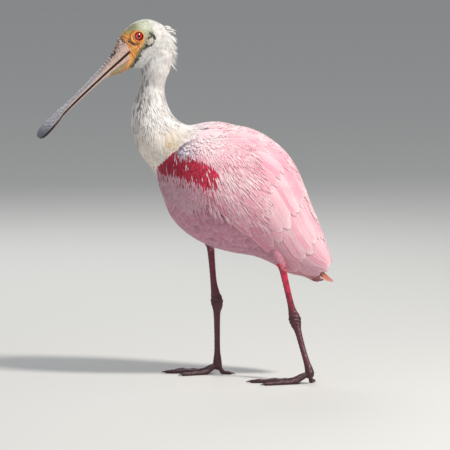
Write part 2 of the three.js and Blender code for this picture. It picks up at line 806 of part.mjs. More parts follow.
for (const [name, leg, sole] of [
  ["right", LEG_RIGHT, FOOT_RIGHT],
  ["left", LEG_LEFT, FOOT_LEFT],
]) {
  const { rows, thigh, hock, ankle } = leg;
  const whole = limb(rows, LEG_SIDES, 2);
  add("thigh_" + name, "thigh", between(whole, thigh + GAP / 2, 240).subtract(bodyRoom));
  add("shank_" + name, "shank", between(whole, hock + GAP / 2, thigh - GAP / 2), 0.5);
  add("tarsus_" + name, "tarsus", between(whole, ankle + GAP / 2, hock - GAP / 2), 0.5);
  add("foot_" + name, "foot", foot(sole, ankle), 0.6);
  TOE_NAMES.forEach((toe, i) => add("claw_" + toe + "_" + name, "claw", claw(sole, i), 0.4));
}

// The part's origin is under the middle of its box
const box = new THREE.Box3().setFromObject(bird);
const middle = box.getCenter(new THREE.Vector3());
bird.position.set(-middle.x, -middle.y, -box.min.z);
const spoonbill = new THREE.Group();
spoonbill.add(bird);

export default spoonbill;
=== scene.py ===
"""A roseate spoonbill standing in a studio: skin, feathers, head, bill, eyes and legs over the fixed frame.

Shapes are drawn in millimetres, the bird looking along -X with its left side at -Y and the floor at Z = 0,
and are moved into the frame by the place of the left eye. In the functions that paint or shape, bare
numbers are places and sizes in that drawing, shares, or the size and seed of a noise.
"""

import bpy
import numpy as np
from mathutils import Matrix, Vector, noise


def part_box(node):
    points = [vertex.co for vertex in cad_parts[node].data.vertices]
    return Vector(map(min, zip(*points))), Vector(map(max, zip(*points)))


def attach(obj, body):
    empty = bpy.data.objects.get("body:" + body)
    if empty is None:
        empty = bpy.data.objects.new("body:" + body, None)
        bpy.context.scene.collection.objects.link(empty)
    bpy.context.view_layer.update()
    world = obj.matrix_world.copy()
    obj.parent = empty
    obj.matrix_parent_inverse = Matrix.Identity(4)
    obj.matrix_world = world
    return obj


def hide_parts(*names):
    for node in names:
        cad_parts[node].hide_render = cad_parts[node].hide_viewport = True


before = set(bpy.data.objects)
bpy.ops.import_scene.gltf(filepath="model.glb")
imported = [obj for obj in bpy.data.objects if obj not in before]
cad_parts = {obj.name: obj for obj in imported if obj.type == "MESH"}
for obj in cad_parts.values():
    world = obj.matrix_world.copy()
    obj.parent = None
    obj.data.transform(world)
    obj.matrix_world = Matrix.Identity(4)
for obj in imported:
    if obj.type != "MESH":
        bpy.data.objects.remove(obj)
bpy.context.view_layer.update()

MM = 0.001
LEFT = -1
RIGHT = 1
SIDES = {"left": LEFT, "right": RIGHT}
ROW_STEP = 0.8  # distance between two rows of feathers, in feather pitches
STAGGER = 0.5  # shift of every other row, in feather pitches
LOOSE = 0.3  # the most that a feather strays from its place, in feather pitches
PATCH = 0.003  # a feather's share of its piece's colour map
BARB_SLANT = 0.8  # how far the feather texture's lines run back for each mm off the shaft
BARBS_ALONG = 1.4  # fineness of that texture along the shaft
BARBS_ACROSS = 0.2  # and across it
BARB_SHIFT = 7.3  # step in the texture from one feather to the next
random = np.random.default_rng(11)

# Rings across the neck and body: back x, back z, front x, front z, half width
BODY = [
    [-22, 478, -60, 462, 19],
    [-18.5, 458, -62, 443, 19],
    [-22, 436, -61, 426, 17],
    [-29, 418, -62, 413, 15.5],
    [-30.5, 402, -68, 398, 17.5],
    [-27, 386, -75, 376, 21.5],
    [-19, 370, -75.5, 352, 28],
    [-8, 359.5, -68.5, 327, 36],
    [5, 354.5, -56, 306, 45],
    [22, 357, -42, 287, 55],
    [42, 357, -32, 258, 62],
    [64, 352, -20, 228, 65],
    [90, 346, 3, 204, 66],
    [115, 333, 34, 187, 64],
    [136, 315, 66, 178, 59],
    [151, 294, 95, 173, 52],
    [163, 267, 119, 163.5, 45],
    [173, 241, 142, 149.5, 38],
    [184, 216, 163, 144.5, 32],
    [195, 190, 184, 138.5, 26],
    [204, 162, 203, 140, 20],
]
LAST_RING = len(BODY) - 1
RUMP_START = 15.6
TORSO_END = 18.4
RUMP_END = TORSO_END + 0.4
SKIN_INSET = 1.0  # depth of the body's skin below the surface that feathers stand on
THIGH_INSET = 1.4

# The folded wing: ring, top angle, lower angle, thickness, height above the body's surface
WING = [
    [8.45, 96, 140, 3, 0.4],
    [8.9, 62, 160, 8, 1.4],
    [9.6, 42, 158, 11, 2.4],
    [10.5, 24, 137, 13, 3],
    [11.5, 11, 119, 13, 3.4],
    [12.5, 3, 111, 12, 3.4],
    [13.5, 0, 113, 11, 3.2],
    [14.5, 0, 120, 9, 3],
    [15.5, 0, 126, 7.5, 2.6],
    [16.5, 0, 133, 6, 2.2],
    [17.5, 0, 138, 5, 1.6],
    [18.4, 0, 138, 4, 1],
    [19.2, 10, 118, 3, 0.4],
]

# The head facing straight ahead: top x, top z, bottom x, bottom z, half width
HEAD = [
    [-93, 482, -80, 436, 13],
    [-84, 492, -73, 436.5, 16.5],
    [-72, 500.5, -63, 436, 19.5],
    [-58, 504.2, -50, 437, 21],
    [-44, 501.5, -38, 440, 21.5],
    [-32, 495, -28, 446, 20],
    [-23, 484.5, -20, 456, 14.5],
    [-18, 473, -17.5, 466, 5],
]
HEAD_YAW = np.radians(16)
HEAD_PIVOT = np.array([-45.0, 0, 455])
EYE = np.array([-71.0, 11.6, 482])
EYE_RADIUS = 6.8
IRIS_RADIUS = 5.2
PUPIL_RADIUS = 2.2

# The closed edge of the bill from the gape to the tip, x and z
MOUTH = [
    [-82.5, 461], [-98, 447.5], [-113, 434.5], [-131.5, 418], [-149.8, 401.7],
    [-163.6, 389.4], [-176.8, 378], [-188.4, 366.8], [-200, 355.2], [-210.5, 342.3],
]
# Share of the bill's length, upper thickness, lower thickness, half width
BILL = [
    [0, 21.5, 22.5, 12.6],
    [0.09, 14.4, 19.5, 12.2],
    [0.16, 10.6, 16.2, 11.4],
    [0.22, 8.6, 10.8, 10.9],
    [0.28, 7.2, 6.2, 10.4],
    [0.42, 5.4, 4.7, 9.8],
    [0.56, 4.4, 4, 10.6],
    [0.68, 3.8, 3.4, 15],
    [0.79, 3.4, 3, 21.8],
    [0.88, 3.2, 2.8, 25],
    [0.945, 3, 2.6, 22.2],
    [0.982, 2.6, 2.3, 15.2],
    [1, 2, 1.8, 7],
]
MOUTH_GAP = 0.5
BILL_ROOT = 0.05  # the share of the bill that runs on into the head
ROOT_RUN = 184  # mm into the head for a whole share

# Legs from the thigh to the foot: x, y, z, fore radius, side radius
LEGS = {
    "right": [
        [16, 27, 232, 21, 17],
        [22, 29, 214, 17, 14.5],
        [28, 32, 200, 12.5, 11.5],
        [32, 33.5, 189.5, 8.6, 8.2],
        [34.3, 34.7, 180.6, 5.4, 5],
        [36.4, 35.6, 158, 4.4, 4.1],
        [38.6, 36.6, 132, 4.4, 4.1],
        [41, 37.2, 116, 6, 5],
        [43.2, 37.8, 105, 8.3, 6.5],
        [43.8, 38.4, 96, 7.2, 5.6],
        [43.4, 39, 86, 4.8, 4.4],
        [43.6, 40, 60, 4, 3.8],
        [43.8, 41.2, 34, 4.1, 4],
        [44, 41.8, 22, 5.4, 5],
        [44, 42, 13, 6.4, 6],
    ],
    "left": [
        [100, -22, 222, 20, 15],
        [112, -26, 204, 16, 13],
        [122, -30, 186, 12, 10.5],
        [130, -33, 170, 8.4, 7.8],
        [134.6, -34.6, 159.6, 5.4, 5],
        [139, -35.4, 140, 4.4, 4.1],
        [146, -36.2, 110, 4.4, 4.1],
        [149, -36.6, 98, 5.8, 5],
        [152, -37.2, 88, 8.2, 6.5],
        [154, -39.5, 80, 7.2, 5.6],
        [156.6, -43, 71, 4.8, 4.4],
        [162.4, -51, 50, 4, 3.8],
        [168.4, -59.6, 30, 4.3, 4],
        [171.2, -64, 21.5, 5.4, 5],
        [173, -66.4, 14, 6.4, 6],
    ],
}
THIGH_ROWS = 4  # spans of a leg that feathers cover
# The joint that the toes leave, then tip x, tip y and root radius of the hind, inner, middle and outer toe
FEET = {
    "right": ([44, 42, 12], [[69, 34, 3.4], [-11, 15, 3.6], [-35, 50, 4], [-17, 80, 3.7]]),
    "left": ([172.3, -66, 13], [[181, -40, 3.4], [112, -34, 3.6], [84, -58, 4], [104, -92, 3.7]]),
}
TOE_NAMES = ["hind", "inner", "middle", "outer"]
CLAW_LENGTH = 7
TOE_ROWS = 90
TOE_SIDES = 20


def rgb(code):
    """A colour from its hexadecimal screen value, as linear light"""
    value = np.array([int(code[i : i + 2], 16) / 255 for i in (1, 3, 5)])
    return np.where(value > 0.04045, ((value + 0.055) / 1.055) ** 2.4, value / 12.92)


WHITE = rgb("#f6f3ef")
GREY_WHITE = rgb("#d9d5d2")
MOTTLE = rgb("#6e6764")
CREAM = rgb("#e6d9c8")
BUFF = rgb("#cbb083")
MANTLE = rgb("#e4d3d8")
# pink of belly and flank, darkened in part as painted shade
FLANK_PINK_AND_SHADE = rgb("#c07f95")
FLANK_DARK = rgb("#98607c")
VENT = rgb("#cc7f7c")
PALE_PINK = rgb("#f3ced5")
PINK = rgb("#e08ba2")
ROSE = rgb("#cf6f8a")
LILAC = rgb("#b9a9bd")
# dark lilac for painted shade between the shoulder's rounded feathers
LILAC_SHADE = rgb("#5c3d58")
CARMINE = rgb("#b80f36")
CARMINE_DARK = rgb("#6a0a26")
CRIMSON = rgb("#dc2c52")
SALMON = rgb("#e5908a")
TAIL_BUFF = rgb("#c8683c")
CROWN = rgb("#a3a184")
CROWN_PALE = rgb("#c6cbb6")
CROWN_DARK = rgb("#6f6c4c")
FACE_ORANGE = rgb("#d98328")
FACE_PALE = rgb("#e9ae6c")
FACE_TAN = rgb("#b89a5c")
FACE_OLIVE = rgb("#837f58")
LID_ORANGE = rgb("#ea8a2c")
CREASE_BROWN = rgb("#6b3216")
# black of the bare skin's marks, and painted shade in the eye socket and nostril
BLACK_SKIN_AND_SHADE = rgb("#211f1d")
EAR_SKIN = rgb("#d6d0bd")
EAR_CRACK = rgb("#5f5c4a")
HORN_PINK = rgb("#cdb0a1")
HORN_GREY = rgb("#b3acab")
HORN_BLUE = rgb("#9b9ba3")
HORN_DARK = rgb("#4c4548")
SPOON_TIP = rgb("#5b5a66")
PURPLE_MARK = rgb("#7d5666")
PINK_RIDGE = rgb("#dd8f7c")
POUCH_OLIVE = rgb("#9a8f63")
POUCH_PINK = rgb("#cf8665")
# near-black painted shade in the slit between the bill's halves
MOUTH_SHADE = rgb("#2b0705")
LEG_RED = rgb("#c8284a")
# the leg red darkened as painted shade
LEG_RED_IN_SHADE = rgb("#741834")
LEG_DARK = rgb("#5a2530")
LEG_BLACK = rgb("#341a20")
IRIS = rgb("#c8120e")
IRIS_STREAK = rgb("#e8492a")
IRIS_RIM = rgb("#4a0505")
BLACK = rgb("#0a0808")


def curve(table, place):
    """Every column of a table at places between its rows, on a smooth curve through them"""
    rows = np.asarray(table, float)
    rows = np.vstack([2 * rows[0] - rows[1], rows, 2 * rows[-1] - rows[-2]])
    last = len(table) - 1
    at = np.clip(np.asarray(place, float), 0, last)
    i = np.minimum(at.astype(int), last - 1)
    t = (at - i)[..., None]
    a, b, c, d = rows[i], rows[i + 1], rows[i + 2], rows[i + 3]
    return b + 0.5 * t * (c - a + t * (2 * a - 5 * b + 4 * c - d + t * (3 * b - a - 3 * c + d)))


def curve_by(table, key):
    """As curve, for a table whose first column is the place"""
    keys = np.asarray(table, float)[:, 0]
    return curve(table, np.interp(key, keys, np.arange(len(keys))))


def mix(a, b, t):
    """From a to b by a share"""
    return a + (b - a) * t


def blend(a, b, t):
    """Two colours, or lists of them, mixed by a list of shares"""
    return a + (b - a) * np.clip(np.asarray(t), 0, 1)[..., None]


def fade(value, low, high):
    """0 below low, 1 above high and smooth between"""
    t = np.clip((np.asarray(value, float) - low) / (high - low), 0, 1)
    return t * t * (3 - 2 * t)


def bump(value, middle, width):
    """1 at a middle value, falling to 0 on both sides of it over a width"""
    return np.exp(-(((value - middle) / width) ** 2))


def unit(v):
    """Vectors brought to length 1"""
    return v / np.maximum(np.linalg.norm(v, axis=-1, keepdims=True), 1e-9)


def clouds(points, size, seed=0.0):
    """Smooth noise of about -1 to 1 at points, with lumps of the given size"""
    flat = np.asarray(points, float).reshape(-1, 3) / size + seed
    values = [noise.noise(p) for p in flat.tolist()]
    return np.array(values).reshape(np.shape(points)[:-1]) * 1.6


def stroke(p, line, width):
    """1 along a line through [x, z] places of the side view, fading to 0 over a width in mm"""
    at = p[..., [0, 2]]
    away = np.full(p.shape[:-1], np.inf)
    for start, end in zip(np.array(line[:-1], float), np.array(line[1:], float)):
        run = end - start
        t = np.clip((at - start) @ run / (run @ run), 0, 1)
        away = np.minimum(away, np.linalg.norm(at - start - t[..., None] * run, axis=-1))
    return bump(away, 0, width)


def beyond(p, line):
    """How far points lie behind a line of [x, z] places, listed from low to high, in the side view"""
    x, z = np.array(line, float).T
    return p[..., 0] - np.interp(p[..., 2], z, x)


def turned(points):
    """Points of the head facing ahead, turned to the bird's left"""
    c, s = np.cos(HEAD_YAW), np.sin(HEAD_YAW)
    p = np.asarray(points, float) - HEAD_PIVOT
    out = np.stack([c * p[..., 0] - s * p[..., 1], s * p[..., 0] + c * p[..., 1], p[..., 2]], -1)
    return out + HEAD_PIVOT


eye_low, eye_high = (np.array(corner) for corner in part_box("eye_left"))
SHIFT = (eye_low + eye_high) / 2 / MM - turned(EYE * [1, LEFT, 1])
SHIFT[2] = 0


def body_point(ring, angle, lift=0.0):
    """A point of neck and body: angle 0 is the back, 180 the belly, negative on the left side"""
    ring, angle, lift = np.broadcast_arrays(ring, angle, lift)
    row = curve(BODY, ring)
    back, front, half = row[..., 0:2], row[..., 2:4], row[..., 4]
    up = (back - front) / 2
    height = np.linalg.norm(up, axis=-1)
    up = up / height[..., None]
    centre = front + up * height[..., None]
    c, s = np.cos(np.radians(angle)), np.sin(np.radians(angle))
    slope = np.hypot(c * half, s * height)
    high = c * (height + lift * half / slope)
    wide = s * (half + lift * height / slope)
    return np.stack([centre[..., 0] + up[..., 0] * high, wide, centre[..., 1] + up[..., 1] * high], -1)


def rump_point(ring, angle, lift=0.0):
    """As body_point, closing to the rump and under-tail coverts behind"""
    t = np.clip((np.asarray(ring) - RUMP_START) / (RUMP_END - RUMP_START), 0, 1)
    shrink = np.sqrt(1 - t * t * 0.98)
    row = curve(BODY, ring)
    front = np.stack([row[..., 2], np.zeros(np.shape(ring)), row[..., 3]], -1)
    return front + (body_point(ring, angle, lift) - front) * shrink[..., None]


def wing_point(side):
    """The surface of one folded wing: across is 0 at its top edge and 1 at its lower edge"""

    def point(ring, across, lift=0.0):
        row = curve_by(WING, ring)
        angle = mix(row[..., 1], row[..., 2], across)
        return body_point(ring, side * angle, row[..., 4] + lift)

    return point


def head_point(place, angle, lift=0.0):
    """A point of the head facing ahead: place runs from the bill to the nape, angle as on the body"""
    row = curve(HEAD, place)
    c, s = np.cos(np.radians(angle)), np.sin(np.radians(angle))
    narrow = 1 - 0.16 * (1 - c) * (1 - np.asarray(place) / (len(HEAD) - 1))
    x = mix(row[..., 2], row[..., 0], (1 + c) / 2)
    z = mix(row[..., 3], row[..., 1], (1 + c) / 2)
    wide = row[..., 4] * s * narrow
    length = np.hypot(row[..., 0] - row[..., 2], row[..., 1] - row[..., 3])
    up = np.stack([row[..., 0] - row[..., 2], row[..., 1] - row[..., 3]], -1) / length[..., None]
    return np.stack([x + up[..., 0] * c * lift, wide + s * lift, z + up[..., 1] * c * lift], -1)


def axes(surface, u, v):
    """A surface's two directions and its normal, by small steps. Large values of v are in degrees"""
    step = 0.02
    pu = (surface(u + step, v) - surface(u - step, v)) / (2 * step)
    wide = 1.0 if np.max(np.abs(v)) > 3 else 0.01
    pv = (surface(u, v + wide) - surface(u, v - wide)) / (2 * wide)
    return pu, pv, unit(np.cross(pu, pv))


def faced(normal, outward):
    """Normals turned to the side that outward points to"""
    return normal * np.sign(np.sum(normal * outward, -1, keepdims=True) + 1e-9)


def walk(surface, u, v, flow, length, rows, facing):
    """Paths over a surface from (u, v) along a flow, as points and normals. Facing turns the normals out"""
    points, normals = [], []
    step = np.asarray(length) / (rows - 1)
    for _ in range(rows):
        pu, pv, normal = axes(surface, u, v)
        here = surface(u, v)
        normal = faced(normal, facing(here))
        points.append(here)
        normals.append(normal)
        way = flow(here)
        way = unit(way - normal * np.sum(way * normal, -1, keepdims=True)) * step[..., None]
        a, b, c = np.sum(pu * pu, -1), np.sum(pu * pv, -1), np.sum(pv * pv, -1)
        d, e = np.sum(pu * way, -1), np.sum(pv * way, -1)
        det = np.maximum(a * c - b * b, 1e-6)
        u = u + (c * d - b * e) / det
        v = v + (a * e - b * d) / det
    return np.stack(points, 1), np.stack(normals, 1)


def material(name, roughness, place="Object", scale=500, depth=0.0003, cells=False, streak=0.0, **extra):
    """A surface whose colour is painted on the mesh, streaked and roughened by one fine texture.

    The texture lies in the object's own space, or in the mesh attribute that place names.
    """
    made = bpy.data.materials.new(name)
    made.use_nodes = True
    nodes, links = made.node_tree.nodes, made.node_tree.links
    shader = nodes["Principled BSDF"]
    shader.inputs["Roughness"].default_value = roughness
    for key, value in extra.items():
        shader.inputs[key.replace("_", " ")].default_value = value
    texture = nodes.new("ShaderNodeTexVoronoi" if cells else "ShaderNodeTexNoise")
    texture.inputs["Scale"].default_value = scale
    if cells:
        texture.feature = "DISTANCE_TO_EDGE"
    else:
        texture.inputs["Detail"].default_value = 3
    height = texture.outputs["Distance" if cells else "Fac"]
    if place == "Object":
        space = nodes.new("ShaderNodeTexCoord").outputs["Object"]
    else:
        named = nodes.new("ShaderNodeAttribute")
        named.attribute_name = place
        space = named.outputs["Vector"]
    links.new(space, texture.inputs["Vector"])
    shade = nodes.new("ShaderNodeMapRange")
    shade.inputs["From Min"].default_value = 0.0 if cells else 0.3
    shade.inputs["From Max"].default_value = 0.12 if cells else 0.7
    shade.inputs["To Min"].default_value = 1 - streak
    shade.inputs["To Max"].default_value = 1 + streak * 0.4
    links.new(height, shade.inputs["Value"])
    paint = nodes.new("ShaderNodeVertexColor")
    paint.layer_name = "Col"
    tone = nodes.new("ShaderNodeVectorMath")
    tone.operation = "SCALE"
    links.new(paint.outputs["Color"], tone.inputs[0])
    links.new(shade.outputs["Result"], tone.inputs["Scale"])
    links.new(tone.outputs["Vector"], shader.inputs["Base Color"])
    bump = nodes.new("ShaderNodeBump")
    bump.inputs["Distance"].default_value = depth
    links.new(height, bump.inputs["Height"])
    links.new(bump.outputs["Normal"], shader.inputs["Normal"])
    return made


FEATHER = material("feather", 0.7, "barbs", 1.0, 0.0003, streak=0.16, Sheen_Weight=0.2, Sheen_Roughness=0.5)
SKIN = material("bare skin", 0.45, scale=620, depth=0.0005, streak=0.22)
HORN = material("bill horn", 0.4, scale=460, depth=0.0004, streak=0.18)
LEG = material("scaled leg", 0.4, scale=430, depth=0.0006, cells=True, streak=0.35)
EYEBALL = material("eye", 0.05, scale=900, depth=0.00001, streak=0.1, Coat_Weight=1.0, Coat_Roughness=0.02)
CLAW = material("claw", 0.35, scale=700, depth=0.0002, streak=0.25)


def piece(name, points, faces, colours, uv, surface, nodes=(), sharp=None, barbs=None):
    """A mesh piece in the frame, from drawn points in mm and groups of faces of one size each.

    Sharp marks the edges that aren't smoothed, and barbs holds the feather texture's place at each point.
    """
    mesh = bpy.data.meshes.new(name)
    points = np.asarray(points, float)
    loops = np.concatenate([g.reshape(-1) for g in faces])
    totals = np.concatenate([np.full(len(g), g.shape[1]) for g in faces])
    mesh.vertices.add(len(points))
    mesh.vertices.foreach_set("co", ((points + SHIFT) * MM).reshape(-1))
    mesh.loops.add(len(loops))
    mesh.loops.foreach_set("vertex_index", loops.astype(np.int32))
    mesh.polygons.add(len(totals))
    starts = np.concatenate([[0], np.cumsum(totals)[:-1]])
    mesh.polygons.foreach_set("loop_start", starts.astype(np.int32))
    mesh.update(calc_edges=True)
    mesh.validate()
    mesh.polygons.foreach_set("use_smooth", np.full(len(mesh.polygons), True))
    paint = mesh.color_attributes.new("Col", "FLOAT_COLOR", "POINT")
    paint.data.foreach_set("color", np.c_[colours, np.ones(len(points))].astype(np.float32).reshape(-1))
    layer = mesh.uv_layers.new(name="OFBake")
    index = np.empty(len(mesh.loops), np.int32)
    mesh.loops.foreach_get("vertex_index", index)
    layer.data.foreach_set("uv", uv[index].astype(np.float32).reshape(-1))
    if barbs is not None:
        place = mesh.attributes.new("barbs", "FLOAT_VECTOR", "POINT")
        place.data.foreach_set("vector", barbs.astype(np.float32).reshape(-1))
    if sharp is not None:
        pairs = np.empty(len(mesh.edges) * 2, np.int32)
        mesh.edges.foreach_get("vertices", pairs)
        pairs = pairs.reshape(-1, 2)
        mark = mesh.attributes.new("sharp_edge", "BOOLEAN", "EDGE")
        mark.data.foreach_set("value", sharp(pairs))
    mesh.materials.append(surface)
    made = bpy.data.objects.new(name, mesh)
    bpy.context.collection.objects.link(made)
    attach(made, "root")
    if nodes:
        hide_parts(*nodes)


def grid_faces(rows, columns, closed=False):
    """Quads over a grid of points, its columns joined round if closed"""
    wide = columns if closed else columns - 1
    r, c = np.meshgrid(np.arange(rows - 1), np.arange(wide), indexing="ij")
    a = r * columns + c
    b = r * columns + (c + 1) % columns
    return np.stack([a, b, b + columns, a + columns], -1).reshape(-1, 4)


def tube(rings):
    """Points and faces of a closed surface through rings, with its two ends drawn to their middles"""
    rows, columns, _ = rings.shape
    ends = np.stack([rings[0].mean(0), rings[-1].mean(0)])
    points = np.concatenate([rings.reshape(-1, 3), ends])
    around = np.arange(columns)
    beside = (around + 1) % columns
    last = (rows - 1) * columns
    low = np.stack([beside, around, np.full(columns, rows * columns)], -1)
    high = np.stack([last + around, last + beside, np.full(columns, rows * columns + 1)], -1)
    return points, [grid_faces(rows, columns, closed=True), np.concatenate([low, high])]


def tube_uv(rows, columns, box=(0.01, 0.01, 0.99, 0.99)):
    """A flat unwrap of a tube in a box of the colour map"""
    r, c = np.meshgrid(np.linspace(0, 1, rows), np.linspace(0, 1, columns), indexing="ij")
    uv = np.stack([mix(box[0], box[2], c), mix(box[1], box[3], r)], -1).reshape(-1, 2)
    return np.concatenate([uv, [[box[0], box[1]], [box[2], box[3]]]])


def join(parts):
    """Several (points, face groups, colours, uv) as one"""
    points, faces, colours, uvs = [], [], [], []
    count = 0
    for p, groups, c, uv in parts:
        points.append(p)
        faces += [g + count for g in groups]
        colours.append(c)
        uvs.append(uv)
        count += len(p)
    sizes = sorted({g.shape[1] for g in faces})
    merged = [np.concatenate([g for g in faces if g.shape[1] == size]) for size in sizes]
    return np.concatenate(points), merged, np.concatenate(colours), np.concatenate(uvs)


# Width of a feather along its length, as (share, share of the half width)
ROUNDED = ([0, 0.2, 0.5, 0.75, 0.9, 1], [0.45, 0.8, 1, 0.95, 0.66, 0.16])
POINTED = ([0, 0.25, 0.6, 0.85, 1], [0.6, 1, 0.75, 0.4, 0.05])
STRAP = ([0, 0.15, 0.5, 0.85, 0.95, 1], [0.5, 0.85, 1, 0.92, 0.66, 0.25])
WISP = ([0, 0.3, 0.7, 1], [0.8, 1, 0.6, 0.08])


def vanes(points, normals, half, form):
    """Feathers along paths: closed blades, arched across, that rise over what lies below.

    Returns their points as a grid for each feather, the face groups and each point's share along and across.
    """
    (low, high), columns, fray = form["lift"], form["columns"], form["fray"]
    count, rows, _ = points.shape
    t = np.linspace(0, 1, rows)
    rise = mix(low, high, t**0.8)
    half = np.asarray(half, float).reshape(-1, 1) * np.interp(t, *form["outline"])
    along = unit(np.gradient(points, axis=1))
    across = unit(np.cross(normals, along))
    c = np.linspace(-1, 1, columns)
    place = points + normals * rise[:, None]
    ragged = 1 + fray * random.standard_normal((count, rows, columns)) * t[None, :, None]
    wide = half[..., None] * c * ragged
    sink = form["camber"] * half[..., None] * c**2
    grid = (
        place[:, :, None, :]
        + across[:, :, None, :] * wide[..., None]
        - normals[:, :, None, :] * sink[..., None]
    )
    slip = random.standard_normal((count, columns)) * fray * half.max(1, keepdims=True) * 2.2
    grid[:, -1] += along[:, -1, None, :] * slip[..., None]
    base = np.arange(count)[:, None] * rows * columns
    top = base[:, :, None] + grid_faces(rows, columns)[None]
    r = np.arange(rows - 1) * columns
    under = np.stack([r, r + columns, r + 2 * columns - 1, r + columns - 1], -1)
    bottom = base[:, :, None] + under[None]
    root = base + np.arange(columns)[::-1]
    tip = base + (rows - 1) * columns + np.arange(columns)
    faces = [np.concatenate([top.reshape(-1, 4), bottom.reshape(-1, 4)]), np.concatenate([root, tip])]
    share = np.broadcast_to(t[None, :, None], (count, rows, columns))
    beside = np.broadcast_to(c[None, None, :], (count, rows, columns))
    return grid, faces, share, beside


def sharp_sides(rows, columns):
    """Marks the edges between a blade's top and its underside"""

    def marks(pairs):
        local = pairs % (rows * columns)
        r, c = local // columns, local % columns
        side = ((c == 0).all(1) | (c == columns - 1).all(1)) & (r[:, 0] != r[:, 1])
        end = (r == 0).all(1) | (r == rows - 1).all(1)
        return side | end

    return marks


def patches(u, v, share, beside):
    """Map places of feathers: a small patch each, at its root's place"""
    at = np.stack([np.clip(u, 0.01, 0.985), np.clip(v, 0.01, 0.985)], -1)
    return (at[:, None, None, :] + PATCH * np.stack([(beside + 1) / 2, share], -1)).reshape(-1, 2)


def feathers(name, points, normals, half, form, paint, place, nodes=()):
    """A piece of plumage: one feather along each path of points, mapped at its root's (u, v) place"""
    grid, faces, share, beside = vanes(points, normals, half, form)
    colours = paint(grid, points[:, 0], share, beside).reshape(-1, 3)
    length = np.linalg.norm(np.diff(points, axis=1), axis=-1).sum(1)[:, None, None]
    wide = np.reshape(half, (-1, 1, 1)) * beside
    along = (share * length - np.abs(wide) * BARB_SLANT) * BARBS_ALONG
    shift = np.broadcast_to(np.arange(len(points))[:, None, None] * BARB_SHIFT, share.shape)
    barbs = np.stack([along, wide * BARBS_ACROSS, shift], -1).reshape(-1, 3)
    uv = patches(*place, share, beside)
    sharp = sharp_sides(points.shape[1], form["columns"])
    piece(name, grid.reshape(-1, 3), faces, colours, uv, FEATHER, nodes, sharp, barbs)


def coat(name, surface, u, v, chart, flow, facing, form, paint):
    """A piece of plumage: one feather at each (u, v) of a surface, lying along a flow.

    Chart gives its place on the piece's colour map.
    """
    points, normals = walk(surface, u, v, flow, form["length"](u), form["rows"], facing)
    feathers(name, points, normals, form["half"](u), form, paint, chart(u, v))


def jitter(count, amount):
    """A random brightness for each feather"""
    return 1 + amount * random.standard_normal((count, 1, 1, 1))


def between(low, high):
    """A random size for each feather"""
    return lambda u: random.uniform(low, high, len(u))


def scatter(surface, u_range, v_range, pitch, keep=None):
    """Evenly spaced places on a surface, in staggered rows across it"""
    places = []
    u = u_range[0]
    v = np.linspace(*v_range, 200)
    middle = v[len(v) // 2]
    row = 0
    while u < u_range[1]:
        line = surface(np.full(200, u), v)
        run = np.concatenate([[0], np.cumsum(np.linalg.norm(np.diff(line, axis=0), axis=1))])
        gap = pitch(u)
        marks = np.arange(gap * STAGGER * (row % 2), run[-1], gap)
        marks = marks + random.uniform(-LOOSE, LOOSE, len(marks)) * gap
        at = np.interp(marks, run, v)
        ahead = surface(np.array([u + 0.01]), np.array([middle]))
        here = surface(np.array([u]), np.array([middle]))
        per_ring = np.linalg.norm(ahead - here) / 0.01
        du = gap * ROW_STEP / max(per_ring, 1e-3)
        places.append(np.stack([u + random.uniform(-LOOSE, LOOSE, len(at)) * du, at], -1))
        u += du
        row += 1
    out = np.concatenate(places)
    out = out[(out[:, 0] >= u_range[0]) & (out[:, 0] <= u_range[1])]
    if keep is not None:
        out = out[keep(out[:, 0], out[:, 1])]
    return out[:, 0], out[:, 1]


def along_axis(x, z):
    """How far up and forward a place of the side view lies, in mm"""
    return z * 0.6 - x * 0.8


def facing_body(p):
    """Outward on neck and body, for turning normals"""
    ring = np.interp(along_axis(p[..., 0], p[..., 2]), *AXIS_RINGS)
    row = curve(BODY, ring)
    mid = (row[..., 0:2] + row[..., 2:4]) / 2
    return np.stack([p[..., 0] - mid[..., 0], p[..., 1], p[..., 2] - mid[..., 1]], -1)


def axis_rings():
    """Places along the body's axis against the ring that lies there"""
    rings = np.linspace(0, LAST_RING, 81)
    row = curve(BODY, rings)
    middle = (row[:, 0:2] + row[:, 2:4]) / 2
    return along_axis(middle[:, 0], middle[:, 1])[::-1], rings[::-1]


AXIS_RINGS = axis_rings()


def body_flow(p):
    """The lie of the feathers on neck and body: down the neck, then back and down"""
    z, x = p[..., 2], p[..., 0]
    back = fade(x, -45, 110)
    neck = fade(z, 345, 385)
    vx = mix(mix(0.15, 0.85, back), 0.12, neck)
    return np.stack([vx, np.zeros_like(vx), -np.ones_like(vx) * mix(mix(1.0, 0.62, back), 1, neck)], -1)


def flank(p, dark):
    """The pink of belly and flank, deepened in part as painted shade, with darker streaks"""
    streaks = fade(clouds(p * [1, 1, 0.25], 4, 19), -0.1, 0.6)
    return blend(FLANK_PINK_AND_SHADE, FLANK_DARK, streaks * dark)


